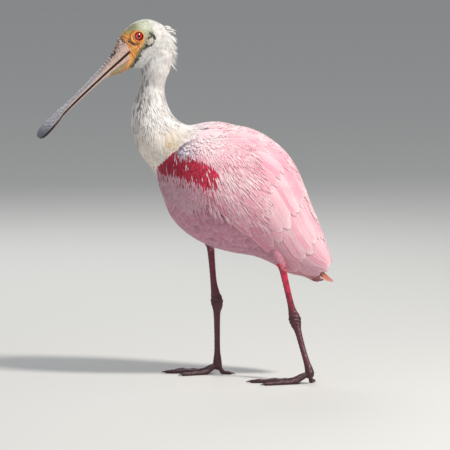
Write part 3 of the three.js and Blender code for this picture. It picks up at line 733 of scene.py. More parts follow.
def body_colour(p):
    """The plumage's colour on neck, breast, back and belly"""
    x, y, z = p[..., 0], p[..., 1], p[..., 2]
    colour = blend(GREY_WHITE, WHITE, fade(clouds(p, 16, 3), -0.6, 0.6))
    front = fade(-x, 40, 62)
    spots = fade(clouds(p * [1, 1, 0.45], 3.4, 9), 0.12, 0.5) * mix(0.3, 1.0, front)
    colour = blend(colour, MOTTLE, spots * fade(z, 340, 385) * 0.85)
    colour = blend(colour, CREAM, fade(-z, -368, -335) * 0.7)
    patch = np.exp(-(((x + 22) / 11) ** 2 + ((z - 343) / 8) ** 2)) * fade(np.abs(y), 8, 20)
    colour = blend(colour, BUFF, patch * fade(clouds(p, 5, 8), -0.7, 0.3) * 0.9)
    colour = blend(colour, MANTLE, fade(x, -15, 18) * fade(z, 300, 330))
    colour = blend(colour, PALE_PINK, fade(x, 40, 110) * fade(z, 260, 320) * 0.9)
    salmon = fade(clouds(p * [0.35, 1, 1.6], 7, 12), 0.15, 0.5) * fade(z, 335, 345) * fade(x, 5, 20)
    colour = blend(colour, SALMON, salmon * 0.45)
    # The lower body takes the flank's pink, which holds painted shade
    belly = fade(-z, -312, -272)
    colour = blend(colour, flank(p, 0.55), belly)
    return blend(colour, VENT, belly * fade(x, 95, 175) * 0.8)


def plume_paint(base, fringe, shaft, fringe_amount=0.4, shaft_amount=0.3, noise_amount=0.05):
    """A painter for feathers: a base colour by place, a paler or darker fringe and a tinted shaft"""

    def paint(grid, roots, share, beside):
        centre = base(roots)[:, None, None, :]
        colour = np.broadcast_to(centre, grid.shape) * jitter(len(grid), noise_amount)
        edge = np.maximum(np.abs(beside) ** 4, fade(share, 0.85, 1.0))
        colour = blend(colour, fringe, edge * fringe_amount)
        line = (np.abs(beside) < 0.12) * fade(share, 0.1, 0.4)
        return np.clip(blend(colour, shaft, line * shaft_amount), 0, 1)

    return paint


def body_skin():
    """The skin of neck and body under the feathers"""
    rings = np.linspace(0, TORSO_END, 150)
    angles = np.linspace(-180, 180, 97)[:-1]
    r, a = np.meshgrid(rings, angles, indexing="ij")
    grid = rump_point(r, a, -SKIN_INSET)
    points, faces = tube(grid)
    # The plumage's colours a little darker, as painted shade under the feathers
    colours = body_colour(points) * 0.93
    return points, faces, colours, tube_uv(*r.shape, box=(0.01, 0.01, 0.6, 0.99))


def limb(rows, sides, places, swell=None, inset=0.0):
    """Rings round a limb at places along its rows"""
    row = curve(rows, places)
    along = unit(curve(rows, places + 0.05)[:, :3] - curve(rows, places - 0.05)[:, :3])
    across = np.array([0, 1.0, 0]) - along * along[:, 1:2]
    across = unit(across)
    forward = np.cross(across, along)
    angle = np.linspace(0, 2 * np.pi, sides, endpoint=False)
    fore, wide = row[:, 3:4] - inset, row[:, 4:5] - inset
    scale = 1 if swell is None else swell(places, angle)
    return (
        row[:, None, :3]
        + forward[:, None, :] * (fore * np.cos(angle) * scale)[..., None]
        + across[:, None, :] * (wide * np.sin(angle) * scale)[..., None]
    )


def thigh_skin(side):
    """The skin of a thigh under its feathers"""
    count = 24
    rings = limb(LEGS[side], count, np.linspace(0, THIGH_ROWS, count), inset=THIGH_INSET)
    points, faces = tube(rings)
    low = 0.01 if side == "left" else 0.31
    uv = tube_uv(count, count, box=(0.62, low, 0.78, low + 0.28))
    return points, faces, body_colour(points), uv


def head_skin():
    """The bare head and the upper neck that its skin runs into"""
    places = np.linspace(0, len(HEAD) - 1, 190)
    angles = np.linspace(-180, 180, 221)[:-1]
    p, a = np.meshgrid(places, angles, indexing="ij")
    flat = head_point(p, a)
    lift = head_relief(flat)
    grid = head_point(p, a, lift)
    points, faces = tube(grid)
    colours = head_colour(points)
    return turned(points), faces, colours, tube_uv(*p.shape, box=(0.62, 0.62, 0.99, 0.99))


# Lines of the head in the side view, each [x, z] from low to high where it parts two colours
FEATHER_EDGE = [
    [-76, 430], [-76, 440], [-74, 446], [-70.4, 451], [-67.4, 458], [-64.5, 463.7], [-60, 466.5],
    [-55, 467.7], [-50.4, 471], [-48.6, 475], [-48.6, 481], [-50.4, 487.5], [-52.6, 496], [-57, 507],
]
ORANGE_EDGE = [[-83, 440], [-77.4, 448], [-74.4, 454], [-71.5, 462], [-67.2, 468], [-64.2, 475], [-64, 484]]
HORN_EDGE = [
    [-86, 440], [-83, 452], [-84.2, 457.6], [-83, 463], [-84.9, 467.4], [-87, 473], [-91, 478.6], [-99, 483],
]
# Folds, ridges, creases and openings of the head, each a line of [x, z]
REAR_MARK = [[-60, 466.5], [-64.5, 463.7], [-67.4, 458.1], [-70.4, 451], [-74, 446], [-76, 439]]
CRESCENT = [[-84.6, 475.4], [-81.7, 472.3], [-77.4, 470.8], [-72.5, 471.6]]
CREASE = [[-98.5, 483.2], [-93.2, 482.2], [-88.1, 479], [-83.8, 478.2]]
RIDGE = [[-98.5, 485.6], [-92.5, 485]]
BASE_MARK = [[-99, 480.4], [-92.4, 478.4]]
GAPE_FOLD = [[-84, 462.4], [-79.3, 465], [-75.6, 466.5]]
EAR_RIM = [[-49.2, 480.5], [-48.8, 475], [-50.4, 471], [-54.8, 467.9], [-58.4, 467.2], [-61, 469.4]]
EAR_TOP = [[-54.4, 486.2], [-51.8, 483.4], [-49.6, 480.6]]
EAR_FRONT = [[-58, 479], [-56, 480.3], [-53.4, 481]]
GROOVE = [[-111, 430], [-95.1, 441.4], [-84.9, 448.4], [-80, 451]]
NOSTRIL = [[-107.5, 454], [-102.5, 459.5]]
EYE_RING = np.array([-73, 480.5])
EAR = np.array([-55, 474.6])


def away_from(p, centre):
    """Distance from a place of the side view, in mm"""
    return np.hypot(p[..., 0] - centre[0], p[..., 2] - centre[1])


def head_relief(p):
    """How far the head's skin stands out: lids, wrinkles, ear, folds and creases"""
    eye = away_from(p, EYE[[0, 2]])
    ring = away_from(p, EYE_RING)
    ear = away_from(p, EAR)
    wrinkles = np.sin((p[..., 0] * 0.8 + p[..., 2] * 0.5) * 2.1 + clouds(p, 6, 1) * 2.5)
    lift = 1.5 * bump(eye, 6.6, 1.2) - 2.2 * fade(-eye, -5.7, -4.8)
    lift = lift + bump(ring, 8.3, 1.3) * fade(eye, 6.5, 8)
    lift = lift + 0.3 * wrinkles * fade(-p[..., 2], -476, -466) * fade(-beyond(p, FEATHER_EDGE), -1, 3)
    lift = lift + 1.3 * fade(-ear, -6.2, -3) + 0.45 * clouds(p, 1.9, 7) * fade(-ear, -6, -4)
    lift = lift + 0.9 * stroke(p, GAPE_FOLD, 1.4) + 0.7 * stroke(p, RIDGE, 1.2)
    for line, width, depth in (
        (EAR_RIM, 1.1, 0.9),
        (EAR_TOP, 1.3, 0.6),
        (EAR_FRONT, 0.9, 0.6),
        (CRESCENT, 1.6, 1.2),
        (CREASE, 0.9, 0.9),
        (REAR_MARK, 1.2, 0.6),
    ):
        lift = lift - depth * stroke(p, line, width)
    return lift + 0.22 * clouds(p, 2.4, 5) + 0.4 * clouds(p, 9, 2)


def face_colour(p):
    """The bare face in front of the feathers and behind the horn of the bill"""
    x, z = p[..., 0], p[..., 2]
    fine = clouds(p, 2.4, 21)
    broad = clouds(p, 6.5, 4)
    colour = blend(CROWN, CROWN_DARK, fade(-x, 62, 92) * 0.9 + 0.3 * broad)
    colour = blend(colour, CROWN_PALE, np.exp(-(((x + 60) / 11) ** 2 + ((z - 497) / 9) ** 2)) + 0.25 * fine)
    colour = blend(colour, FACE_TAN, fade(-z, -494, -486) * fade(-x, 60, 70))
    colour = blend(colour, FACE_OLIVE, fade(-z, -474, -462) * 0.85)
    orange = fade(-beyond(p, ORANGE_EDGE), -1.5, 1.5) * fade(-z, -487, -481)
    colour = blend(colour, blend(FACE_ORANGE, FACE_PALE, 0.4 + 0.6 * broad), orange)
    pale = fade(-z, -460, -455) * fade(z, 447, 452) * orange
    colour = blend(colour, FACE_OLIVE, pale * fade(broad, 0, 0.5) * 0.5)
    behind = fade(beyond(p, ORANGE_EDGE), 0, 3)
    blotches = fade(clouds(p, 3.2, 27), 0.05, 0.45) * behind * fade(-z, -480, -470)
    colour = blend(colour, BLACK_SKIN_AND_SHADE, blotches * 0.6)
    colour = blend(colour, FACE_PALE, stroke(p, GAPE_FOLD, 1.6) * 0.8)
    ring = away_from(p, EYE_RING)
    colour = blend(colour, blend(LID_ORANGE, FACE_PALE, 0.25 + 0.4 * fine), fade(-ring, -10, -9))
    return blend(colour, CREASE_BROWN, bump(ring, 9.6, 0.8) * fade(-x, 72, 78) * 0.55)


def head_colour(p):
    """Colours of the head facing ahead: face, dark folds, ear, the horn at the root of the bill, and painted
    shade round the eyeball
    """
    eye = away_from(p, EYE[[0, 2]])
    colour = blend(face_colour(p), GREY_WHITE, fade(beyond(p, FEATHER_EDGE), 0, 2))
    colour = blend(colour, EAR_SKIN, fade(-away_from(p, EAR), -6.4, -5))
    cracks = fade(clouds(p, 1.6, 31), 0.1, 0.5) * fade(-away_from(p, EAR), -7.5, -6)
    colour = blend(colour, EAR_CRACK, cracks * 0.8)
    ragged = 0.75 + 0.45 * clouds(p, 2.2, 6)
    for line, width, tint, strength in (
        (CRESCENT, 2.0, BLACK_SKIN_AND_SHADE, 1.1),
        (CREASE, 1.1, CREASE_BROWN, 0.9),
        (RIDGE, 1.3, PINK_RIDGE, 0.9),
        (REAR_MARK, 2.3, BLACK_SKIN_AND_SHADE, 1.2),
        (EAR_RIM, 2.1, BLACK_SKIN_AND_SHADE, 1.4),
        (EAR_TOP, 2.3, BLACK_SKIN_AND_SHADE, 1.4),
        (EAR_FRONT, 1.5, BLACK_SKIN_AND_SHADE, 1.3),
    ):
        colour = blend(colour, tint, stroke(p, line, width) * strength * np.clip(ragged, 0.35, 1))
    colour = blend(colour, horn_colour(p, np.ones(p.shape[:-1])), fade(-beyond(p, HORN_EDGE), -0.5, 1.0))
    # Painted shade: the skin in the eye's socket is black, darkening the crevice round the eyeball
    return blend(colour, BLACK_SKIN_AND_SHADE, fade(-eye, -6.3, -5.6) * 0.95)


def horn_colour(p, height):
    """The bill's horn by its place along the bill, and by height, from 0 at the mouth's edge to 1"""
    along = (-83 - p[..., 0]) / 128
    fine = clouds(p, 2.3, 17)
    top = fade(height, 0.35, 0.85)
    colour = blend(HORN_PINK, HORN_GREY, fade(along, 0.15, 0.55) * 0.7 + 0.3 * clouds(p, 8, 3))
    colour = blend(colour, HORN_BLUE, top * fade(along, 0.1, 0.4) * 0.7)
    colour = blend(colour, HORN_BLUE, fade(along, 0.6, 0.85) * 0.8)
    colour = blend(colour, SPOON_TIP, fade(along, 0.84, 1.0) * 0.85)
    near = fade(-along, -0.46, -0.12)
    bars = fade(np.sin(along * 250 + clouds(p, 5) * 3.5), 0.1, 0.8)
    colour = blend(colour, HORN_DARK, bars * near * (0.4 + 0.5 * top) * fade(fine, -0.7, 0.2))
    dashes = fade(clouds(p * [1, 1, 1.6], 2.6, 41), 0.12, 0.45)
    colour = blend(colour, HORN_DARK, dashes * near * fade(-along, -0.3, -0.14) * top * 0.95)
    purple = fade(clouds(p, 6, 14), 0.1, 0.5) * bump(along, 0.72, 0.05)
    colour = blend(colour, PURPLE_MARK, purple * 0.6)
    colour = blend(colour, HORN_DARK, stroke(p, BASE_MARK, 2.0) * 0.85)
    # Painted shade: black inside the nostril's opening
    return blend(colour, BLACK_SKIN_AND_SHADE, stroke(p, NOSTRIL, 0.9) * 0.95)


skin = join([body_skin(), thigh_skin("left"), thigh_skin("right"), head_skin()])
piece("skin", *skin, SKIN, ["torso", "neck_lower", "neck_upper", "head", "thigh_left", "thigh_right"])


def under_wing(u, v):
    """Body places that the wings leave bare, or just under their edges"""
    row = curve_by(WING, np.clip(u, WING[0][0], WING[-1][0]))
    top, low = row[:, 1] + 8, row[:, 2] - 10
    inside = (np.abs(v) > top) & (np.abs(v) < low) & (u > WING[0][0])
    return ~inside


def size_on_body(small, large):
    """A size that grows from the upper neck to the back, and differs a little from feather to feather"""
    return lambda u: mix(small, large, fade(u, 2, 11)) * random.uniform(0.85, 1.15, len(u))


def body_chart(ring, angle):
    """A place on the colour map of a coat of neck or body"""
    return (angle + 180) / 360, ring / LAST_RING


# Kinds of feather: outline, points along and across, rise over the surface at root and tip, arch,
# raggedness, length and half width
NECK_FORM = dict(
    outline=WISP, rows=5, columns=3, lift=(-0.2, 0.9), camber=0.3, fray=0.12,
    length=size_on_body(6, 15), half=size_on_body(0.95, 2.8),
)
BODY_FORM = dict(
    outline=ROUNDED, rows=6, columns=5, lift=(0.2, 1.1), camber=0.14, fray=0.09,
    length=size_on_body(10, 24), half=size_on_body(2.2, 6.2),
)
BACK_FORM = dict(
    outline=ROUNDED, rows=9, columns=7, lift=(-0.2, 1.8), camber=0.12, fray=0.06,
    length=between(22, 32), half=between(4.2, 6.4),
)
SHOULDER_FORM = dict(
    outline=POINTED, rows=7, columns=3, lift=(-0.5, 1.9), camber=0.3, fray=0.12,
    length=between(13, 20), half=between(1.2, 2.2),
)
LUMP_FORM = dict(
    outline=ROUNDED, rows=8, columns=7, lift=(-0.6, 2.8), camber=0.4, fray=0.05,
    length=between(9, 14), half=between(3.2, 4.6),
)
NAPE_FORM = dict(
    outline=WISP, rows=5, columns=3, lift=(-0.5, 0.7), camber=0.3, fray=0.14,
    length=between(4, 7), half=between(0.6, 1.0),
)
ALL_ROUND = (-178, 178)
body_paint = plume_paint(body_colour, WHITE, ROSE, 0.14, 0.05, 0.06)

u, v = scatter(body_point, (0.95, 7.6), ALL_ROUND, lambda ring: mix(1.9, 3.8, float(fade(ring, 2, 7.6))))
coat("coat_neck", body_point, u, v, body_chart, body_flow, facing_body, NECK_FORM, body_paint)

u, v = scatter(
    rump_point, (7.0, 18.3), ALL_ROUND, lambda ring: mix(4.2, 6.6, float(fade(ring, 7, 12))), under_wing
)
coat("coat_body", rump_point, u, v, body_chart, body_flow, facing_body, BODY_FORM, body_paint)


def wing_flow(p):
    """The lie of the wing's feathers: down at the shoulder, back along the fold behind"""
    back = fade(p[..., 0], 0, 110)
    return np.stack([mix(0.12, 0.8, back), np.zeros_like(back), mix(-1.0, -0.78, back)], -1)


def wing_colour(p):
    """The wing's colour: pale above, lilac over the shoulder, pink behind, and darker flank pink below as
    painted shade
    """
    x, z = p[..., 0], p[..., 2]
    colour = blend(PALE_PINK, PINK, 0.35 + 0.7 * clouds(p, 22, 7) + 0.3 * clouds(p, 8, 23))
    colour = blend(colour, MANTLE, fade(z - 0.25 * x, 318, 342) * 0.75)
    salmon = fade(clouds(p * [0.35, 1, 1.6], 7, 12), 0.1, 0.45) * fade(z - 0.1 * x, 325, 338)
    colour = blend(colour, SALMON, salmon * 0.4)
    colour = blend(colour, ROSE, fade(z - 0.2 * x, 260, 300) * fade(x, 140, 160) * 0.3)
    # Painted shade: the wing's lower edge and the shoulder below the band take the darker flank pink
    low = np.maximum(fade(-z - 0.62 * x, -322, -278), fade(-z, -303, -286) * fade(-x, -48, -20))
    colour = blend(colour, flank(p, 0.35), low * 0.8)
    lilac = fade(-x, -24, 4) * fade(z, 303, 314)
    lumps = fade(clouds(p, 8, 2), -0.25, 0.35)
    return blend(colour, blend(LILAC, MANTLE, lumps), lilac)


# The carmine band of the shoulder at the roots of its feathers: x, then its upper and lower z
BAND = np.array(
    [[-42, 327, 304], [-22, 328, 303], [-5, 328, 301], [12, 325, 295], [27, 319, 286], [40, 306, 286]]
)


def in_band(p):
    """1 inside the carmine band, fading out below it and to the rear"""
    x, z = p[..., 0], p[..., 2]
    top = np.interp(x, BAND[:, 0], BAND[:, 1])
    low = np.interp(x, BAND[:, 0], BAND[:, 2])
    inside = fade(z, low - 3, low + 2) * fade(-z, -top - 2, -top + 1)
    below = fade(z, low - 20, low - 6) * fade(-z, -low, -low + 2) * 0.22
    return np.maximum(inside * 0.93, below) * fade(-x, -54, -34)


def wing_base(side, name):
    """The closed body of a wing under its feathers"""
    columns = 40
    rings = np.linspace(WING[0][0], WING[-1][0], 90)
    r, a = np.meshgrid(rings, np.linspace(0, 1, columns), indexing="ij")
    outer = wing_point(side)(r, a, -1.2)
    thick = curve_by(WING, r)[..., 3]
    edge = np.sqrt(np.sin(np.pi * mix(0.06, 0.94, a)))
    inner = wing_point(side)(r, a, -1.4 - (thick - 0.8) * edge * 0.7)
    points, faces = tube(np.concatenate([outer, inner[:, ::-1]], axis=1))
    uv = tube_uv(len(rings), 2 * columns)
    # The wing's colours a little darker, as painted shade under its feathers
    piece("wing_base_" + name, points, faces, wing_colour(points) * 0.9, uv, FEATHER, ["wing_" + name])


# The wing's large feathers, lowest tier first: name, count, (ring, across) of the first root and tip
# and of the last root and tip, half width, rise of the tips, outline
TIERS = [
    ("primaries", 10, (16.4, 0.2), (20.0, 0.2), (15.6, 0.9), (19.2, 1.02), 5.6, 1.2, STRAP),
    ("tertials", 11, (14.0, 0.1), (18.7, 0.12), (13.8, 0.92), (17.4, 1.03), 9.4, 1.6, STRAP),
    ("greater", 12, (12.4, 0.08), (16.6, 0.1), (12.4, 0.9), (15.7, 1.03), 9.0, 1.8, STRAP),
    ("median", 12, (11.0, 0.08), (14.8, 0.08), (11.3, 0.88), (14.2, 1.02), 9.0, 1.8, ROUNDED),
    ("lesser", 11, (10.0, 0.04), (13.0, 0.04), (10.6, 0.74), (13.2, 0.86), 8.4, 1.6, ROUNDED),
    ("scapulars", 7, (9.3, -0.02), (12.6, 0.0), (9.8, 0.42), (12.7, 0.48), 8.6, 2.0, ROUNDED),
]
LUMPS_FROM = 331  # z above which the shoulder has rounded feathers
QUILL_ROWS = 20
QUILL_COLUMNS = 11


def straight_paths(surface, roots, tips, rows):
    """Paths on a wing from roots to tips, both (ring, across), with their normals"""
    t = np.linspace(0, 1, rows)[None, :]
    u = mix(roots[:, :1], tips[:, :1], t)
    v = mix(roots[:, 1:], tips[:, 1:], t)
    points = surface(u, v)
    _, _, normal = axes(surface, u, v)
    return points, faced(normal, facing_body(points))


def quill_paint(grid, roots, share, beside):
    """Large feathers: each its own pink, paler at the edge, and a little deeper along one side of the shaft
    as painted shade on the half that lies under the next feather
    """
    tint = random.uniform(0, 1, (len(grid), 1, 1))
    colour = np.broadcast_to(wing_colour(roots)[:, None, None, :], grid.shape) * jitter(len(grid), 0.035)
    colour = blend(colour, wing_colour(grid), 0.5)
    colour = blend(colour, PINK, tint * 0.6 * fade(share, 0.1, 0.7))
    colour = blend(colour, PALE_PINK, (1 - tint) * 0.35)
    # Painted shade along the shaft's covered side
    colour = blend(colour, ROSE, fade(-beside, 0.0, 0.7) * 0.25)
    edge = np.maximum(np.abs(beside) ** 8, fade(share, 0.93, 1.0))
    colour = blend(colour, WHITE, edge * 0.36)
    return np.clip(blend(colour, ROSE, (np.abs(beside) < 0.1) * 0.16), 0, 1)


def wing_chart(ring, across):
    """A place on the colour map of a wing's large feathers and plumes"""
    return ring / LAST_RING, 0.04 + across * 0.9


def quills(side, name):
    """The wing's large smooth feathers, tier over tier"""
    for order, (tier, count, root0, tip0, root1, tip1, half, rise, outline) in enumerate(TIERS):
        share = (np.arange(count) + random.uniform(-0.22, 0.22, count))[:, None] / (count - 1)
        roots = mix(np.array(root0), np.array(root1), share)
        tips = mix(np.array(tip0), np.array(tip1), share)
        tips = tips + random.uniform(-1, 1, (count, 2)) * [0.22, 0.018]
        points, normals = straight_paths(wing_point(side), roots, tips, QUILL_ROWS)
        lift = (-0.8 + order * 0.2, rise)
        form = dict(outline=outline, columns=QUILL_COLUMNS, lift=lift, camber=0.06, fray=0.03)
        wide = half * random.uniform(0.86, 1.12, count)
        place = wing_chart(roots[:, 0], roots[:, 1])
        feathers("wing_" + tier + "_" + name, points, normals, wide, form, quill_paint, place)


def plumes(side, name):
    """Long loose hair-like feathers that hang over the middle and the lower edge of the wing"""
    count = 420
    v = random.uniform(0.22, 1.0, count)
    u = mix(10.7, 11.9, v) + random.uniform(0, 1, count) * mix(0.9, 3.0, fade(v, 0.2, 0.9))
    sway = random.normal(0, 0.1, (count, 3)) * [1, 0, 0.6]
    form = dict(outline=WISP, columns=3, lift=(0.5, 2.6), camber=0.35, fray=0.12)
    length = random.uniform(14, 30, count) * mix(1, 0.72, fade(v, 0.75, 1.0))
    points, normals = walk(wing_point(side), u, v, lambda p: wing_flow(p) + sway, length, 8, facing_body)
    pale = random.uniform(0, 1, (count, 1))

    def paint(grid, roots, share, _beside):
        colour = blend(blend(wing_colour(roots), WHITE, pale[:, 0] * 0.45), PINK, (1 - pale[:, 0]) * 0.45)
        colour = np.broadcast_to(colour[:, None, None, :], grid.shape)
        return np.clip(blend(colour, wing_colour(grid), fade(-share, -0.35, 0)), 0, 1)

    half = random.uniform(0.8, 1.9, count)
    feathers("wing_plumes_" + name, points, normals, half, form, paint, wing_chart(u, v))


def lump_paint(grid, roots, share, beside):
    """Feathers above the carmine band: pale and rounded, with painted shade at their roots"""
    base = wing_colour(roots)[:, None, None, :] * jitter(len(grid), 0.06)
    colour = np.broadcast_to(base, grid.shape)
    lilac = (fade(-roots[:, 0], -24, 4) * fade(roots[:, 2], 308, 316))[:, None, None]
    # Painted shade: dark lilac at the roots of the shoulder's rounded feathers, between the lumps
    colour = blend(colour, LILAC_SHADE, lilac * fade(-share, -0.85, -0.5) * 0.8)
    colour = blend(colour, WHITE, np.maximum(np.abs(beside) ** 3, fade(share, 0.8, 1)) * 0.25)
    return np.clip(colour, 0, 1)


def shoulder_paint(grid, roots, share, beside):
    """The shoulder's narrow feathers: as those around them, with carmine ones in the band"""
    colour = lump_paint(grid, roots, share, beside)
    red = blend(CARMINE, CARMINE_DARK, random.uniform(-0.4, 0.8, len(grid)))
    red = blend(red, CRIMSON, fade(roots[:, 0], -5, 30) * random.uniform(0, 1, len(grid)))
    chosen = random.uniform(0, 1, len(grid)) < in_band(roots)
    amount = chosen[:, None, None] * fade(share, 0.0, 0.2)
    return np.clip(blend(colour, red[:, None, None, :], amount), 0, 1)


def shoulder_chart(ring, across):
    """A place on the colour map of a wing's small feathers"""
    return 0.02 + across * 0.9, (ring - 8) / 12


def shoulder(side, name):
    """Small feathers over the shoulder: narrow in and below the carmine band, rounded above it"""
    surface = wing_point(side)
    u, v = scatter(surface, (8.5, 11.7), (0.02, 0.99), lambda ring: 2.9)
    keep = random.uniform(0, 1, len(u)) < fade(-u, -11.7, -10.9) + 0.25
    coat(
        "wing_shoulder_" + name, surface, u[keep], v[keep],
        shoulder_chart, wing_flow, facing_body, SHOULDER_FORM, shoulder_paint,
    )
    u, v = scatter(surface, (8.5, 10.4), (0.0, 0.42), lambda ring: 5.2)
    keep = surface(u, v)[:, 2] > LUMPS_FROM
    coat(
        "wing_lumps_" + name, surface, u[keep], v[keep],
        shoulder_chart, wing_flow, facing_body, LUMP_FORM, lump_paint,
    )


def back_point(ring, angle):
    """The middle of the back, at the height of the folded wings on both sides"""
    return body_point(ring, angle, 3.6 * fade(ring, 8.3, 11) * fade(-ring, -19.5, -17))


# Long feathers down the middle of the back, over the seam between the wings
back_paint = plume_paint(wing_colour, WHITE, ROSE, 0.3, 0.12, 0.05)
u, v = scatter(back_point, (7.9, 19.0), (-17, 17), lambda ring: 5.4)
coat("coat_back", back_point, u, v, body_chart, body_flow, facing_body, BACK_FORM, back_paint)

for name, side in SIDES.items():
    wing_base(side, name)
    quills(side, name)
    plumes(side, name)
    shoulder(side, name)


def tail():
    """A fan of straight feathers below the tips of the wings"""
    count, rows = 11, 16
    order = np.linspace(-5, 5, count)
    t = np.linspace(0, 1, rows)[None, :, None]
    root = np.stack([np.full(count, 146.0), order * 1.4, 192 - np.abs(order) * 0.6], -1)
    tip = np.stack([207 - order**2 * 0.35, order * 3.4, 136.5 + order**2 * 0.18], -1)
    points = mix(root[:, None], tip[:, None], t)
    points[..., 2] -= np.abs(order)[:, None] * 0.5
    normals = np.tile(unit(np.array([0.66, 0, 0.75])), (count, rows, 1))
    normals = unit(normals + np.array([0, 0.05, 0]) * order[:, None, None])
    form = dict(outline=STRAP, columns=9, lift=(0, 0), camber=0.08, fray=0.03)
    paint = plume_paint(lambda p: np.tile(TAIL_BUFF, (len(p), 1)), PALE_PINK, CARMINE_DARK, 0.3, 0.3)
    place = ((order + 6) / 12, np.full(count, 0.5))
    feathers("tail_feathers", points, normals, np.full(count, 6.3), form, paint, place, ["tail"])


tail()


def crest():
    """Loose feathers of the nape, in ragged locks"""
    count, rows = 210, 7
    z = random.uniform(448, 495, count)
    spread = random.uniform(-1, 1, count)
    back = -17.5 - ((z - 468) / 11.5) ** 2
    root = np.stack([back - 5 - spread**2 * 3, spread * 11, z], -1)
    lock = np.sin(z * 0.75 + spread * 1.5)
    length = random.uniform(8, 12.5, count) + 3.6 * lock
    drop = np.interp(z, [448, 470, 495], [-13, -8, -0.5]) + random.uniform(-3, 3, count)
    tip = root + np.stack([length * 0.75 + 2, spread * 3, drop], -1)
    t = np.linspace(0, 1, rows)[None, :, None]
    points = mix(root[:, None], tip[:, None], t)
    points[..., 2] -= t[..., 0] ** 2 * 2.5
    way = unit(tip - root)
    normals = np.stack([np.full(count, 0.6), spread * 0.9, np.full(count, 0.6)], -1)
    normals = unit(normals - way * np.sum(normals * way, -1, keepdims=True))
    normals = np.repeat(normals[:, None], rows, axis=1)
    form = dict(outline=WISP, columns=3, lift=(0, 0), camber=0.3, fray=0.1)
    paint = plume_paint(lambda p: np.tile(WHITE, (len(p), 1)), GREY_WHITE, MOTTLE, 0.3, 0.3, 0.1)
    half = random.uniform(0.45, 1.05, count)
    place = (spread * 0.4 + 0.5, (z - 440) / 60)
    feathers("crest", turned(points), normals, half, form, paint, place)


crest()


def head_flow(p):
    """The lie of the feathers behind the crown and ear: back and down"""
    return np.stack([np.full(p.shape[:-1], 0.75), np.zeros(p.shape[:-1]), np.full(p.shape[:-1], -0.7)], -1)


def facing_head(p):
    """Outward on the head, for turning normals"""
    return p - np.array([-48.0, 0, 468])


def turned_head(place, angle):
    """As head_point, turned to the bird's left"""
    return turned(head_point(place, angle))


def nape_colour(p):
    """White on the back of the head, greyer by patches"""
    colour = blend(GREY_WHITE, WHITE, fade(clouds(p, 6), -0.5, 0.5))
    return blend(colour, MOTTLE, fade(clouds(p, 3, 15), 0.2, 0.6) * 0.35)


def nape():
    """Fine feathers on the back of the head and the throat, from the edge of the bare skin"""
    u, v = scatter(head_point, (0.2, 6.7), ALL_ROUND, lambda ring: 1.45)
    keep = beyond(head_point(u, v), FEATHER_EDGE) > random.uniform(-1.2, 0.8, len(u))
    paint = plume_paint(nape_colour, WHITE, MOTTLE, 0.25, 0.1)
    coat(
        "coat_nape", turned_head, u[keep], v[keep],
        lambda ring, angle: (angle / 360 + 0.5, ring / 7), head_flow, facing_head, NAPE_FORM, paint,
    )


nape()


def bill_frame(share):
    """The mouth line, the way up from it, and the bill's sizes at shares of its length.

    Shares under 0 run straight on into the head.
    """
    last = len(MOUTH) - 1
    ahead = curve(MOUTH, np.clip(share + 0.01, 0, 1) * last)
    along = unit(ahead - curve(MOUTH, np.clip(share - 0.01, 0, 1) * last))
    at = curve(MOUTH, np.maximum(share, 0) * last) + along * np.minimum(share, 0)[:, None] * ROOT_RUN
    up = np.stack([along[..., 1], -along[..., 0]], -1)
    row = curve_by(BILL, share)
    return at, up, row[..., 1], row[..., 2], row[..., 3]


def mandible(name, way, node):
    """The upper or lower half of the bill: way is 1 or -1"""
    share = np.concatenate([np.linspace(-BILL_ROOT, 0.9, 300), np.linspace(0.903, 1, 60)])
    at, up, upper, lower, half = bill_frame(share)
    thick = (upper if way > 0 else lower) + np.maximum(-share, 0) * 40
    edge = np.minimum(1.1, thick * 0.4)
    s = np.sin(np.linspace(-1, 1, 61) * np.pi / 2)
    arch = (1 - np.abs(s) ** 2.4) ** 0.5
    lip = np.array([0, 0.4, 0.8])
    s = np.concatenate([[-1, -1, -1], s, [1, 1, 1, 0]])
    share_up = np.concatenate([np.zeros(3), arch, np.zeros(4)])
    height = edge[:, None] + (thick - edge)[:, None] * share_up
    height[:, :3] = edge[:, None] * lip
    height[:, -4:-1] = edge[:, None] * lip[::-1]
    height[:, -1] = 0
    level = way * (height + MOUTH_GAP / 2)
    grid = np.stack(
        [
            at[:, :1] + up[:, :1] * level,
            half[:, None] * s[None, :] + np.zeros_like(level),
            at[:, 1:] + up[:, 1:] * level,
        ],
        -1,
    )
    rib = np.sin(share * 250)[:, None] * fade(-share, -0.4, -0.1)[:, None]
    relief = 0.28 * rib + 0.18 * clouds(grid, 3, 9)
    line, deep = (NOSTRIL, 0.9) if way > 0 else (GROOVE, 0.7)
    relief = relief - deep * stroke(grid, line, 1.0)
    furrow = bump(np.abs(s), 0.74, 0.05)[None, :] * fade(share, 0.08, 0.25)[:, None]
    relief = (relief - 0.5 * furrow * fade(-share, -0.96, -0.88)[:, None]) * share_up[None, :] * way
    grid[..., 0] += up[:, :1] * relief
    grid[..., 2] += up[:, 1:] * relief
    points, faces = tube(grid)
    rise = np.concatenate([np.tile(share_up, len(share)), [0, 0]])
    lips = np.concatenate([height.reshape(-1), [0, 0]])
    colours = horn_colour(points, rise) if way > 0 else under_colour(points, rise)
    colours = blend(colours, face_colour(points), fade(beyond(points, HORN_EDGE), -0.8, 0.8))
    # Painted shade: near-black along the lips, in the slit between the two halves of the bill
    colours = blend(colours, MOUTH_SHADE, fade(-lips, -1.5, -1.05))
    piece(name, turned(points), faces, colours, tube_uv(*height.shape), HORN, [node])


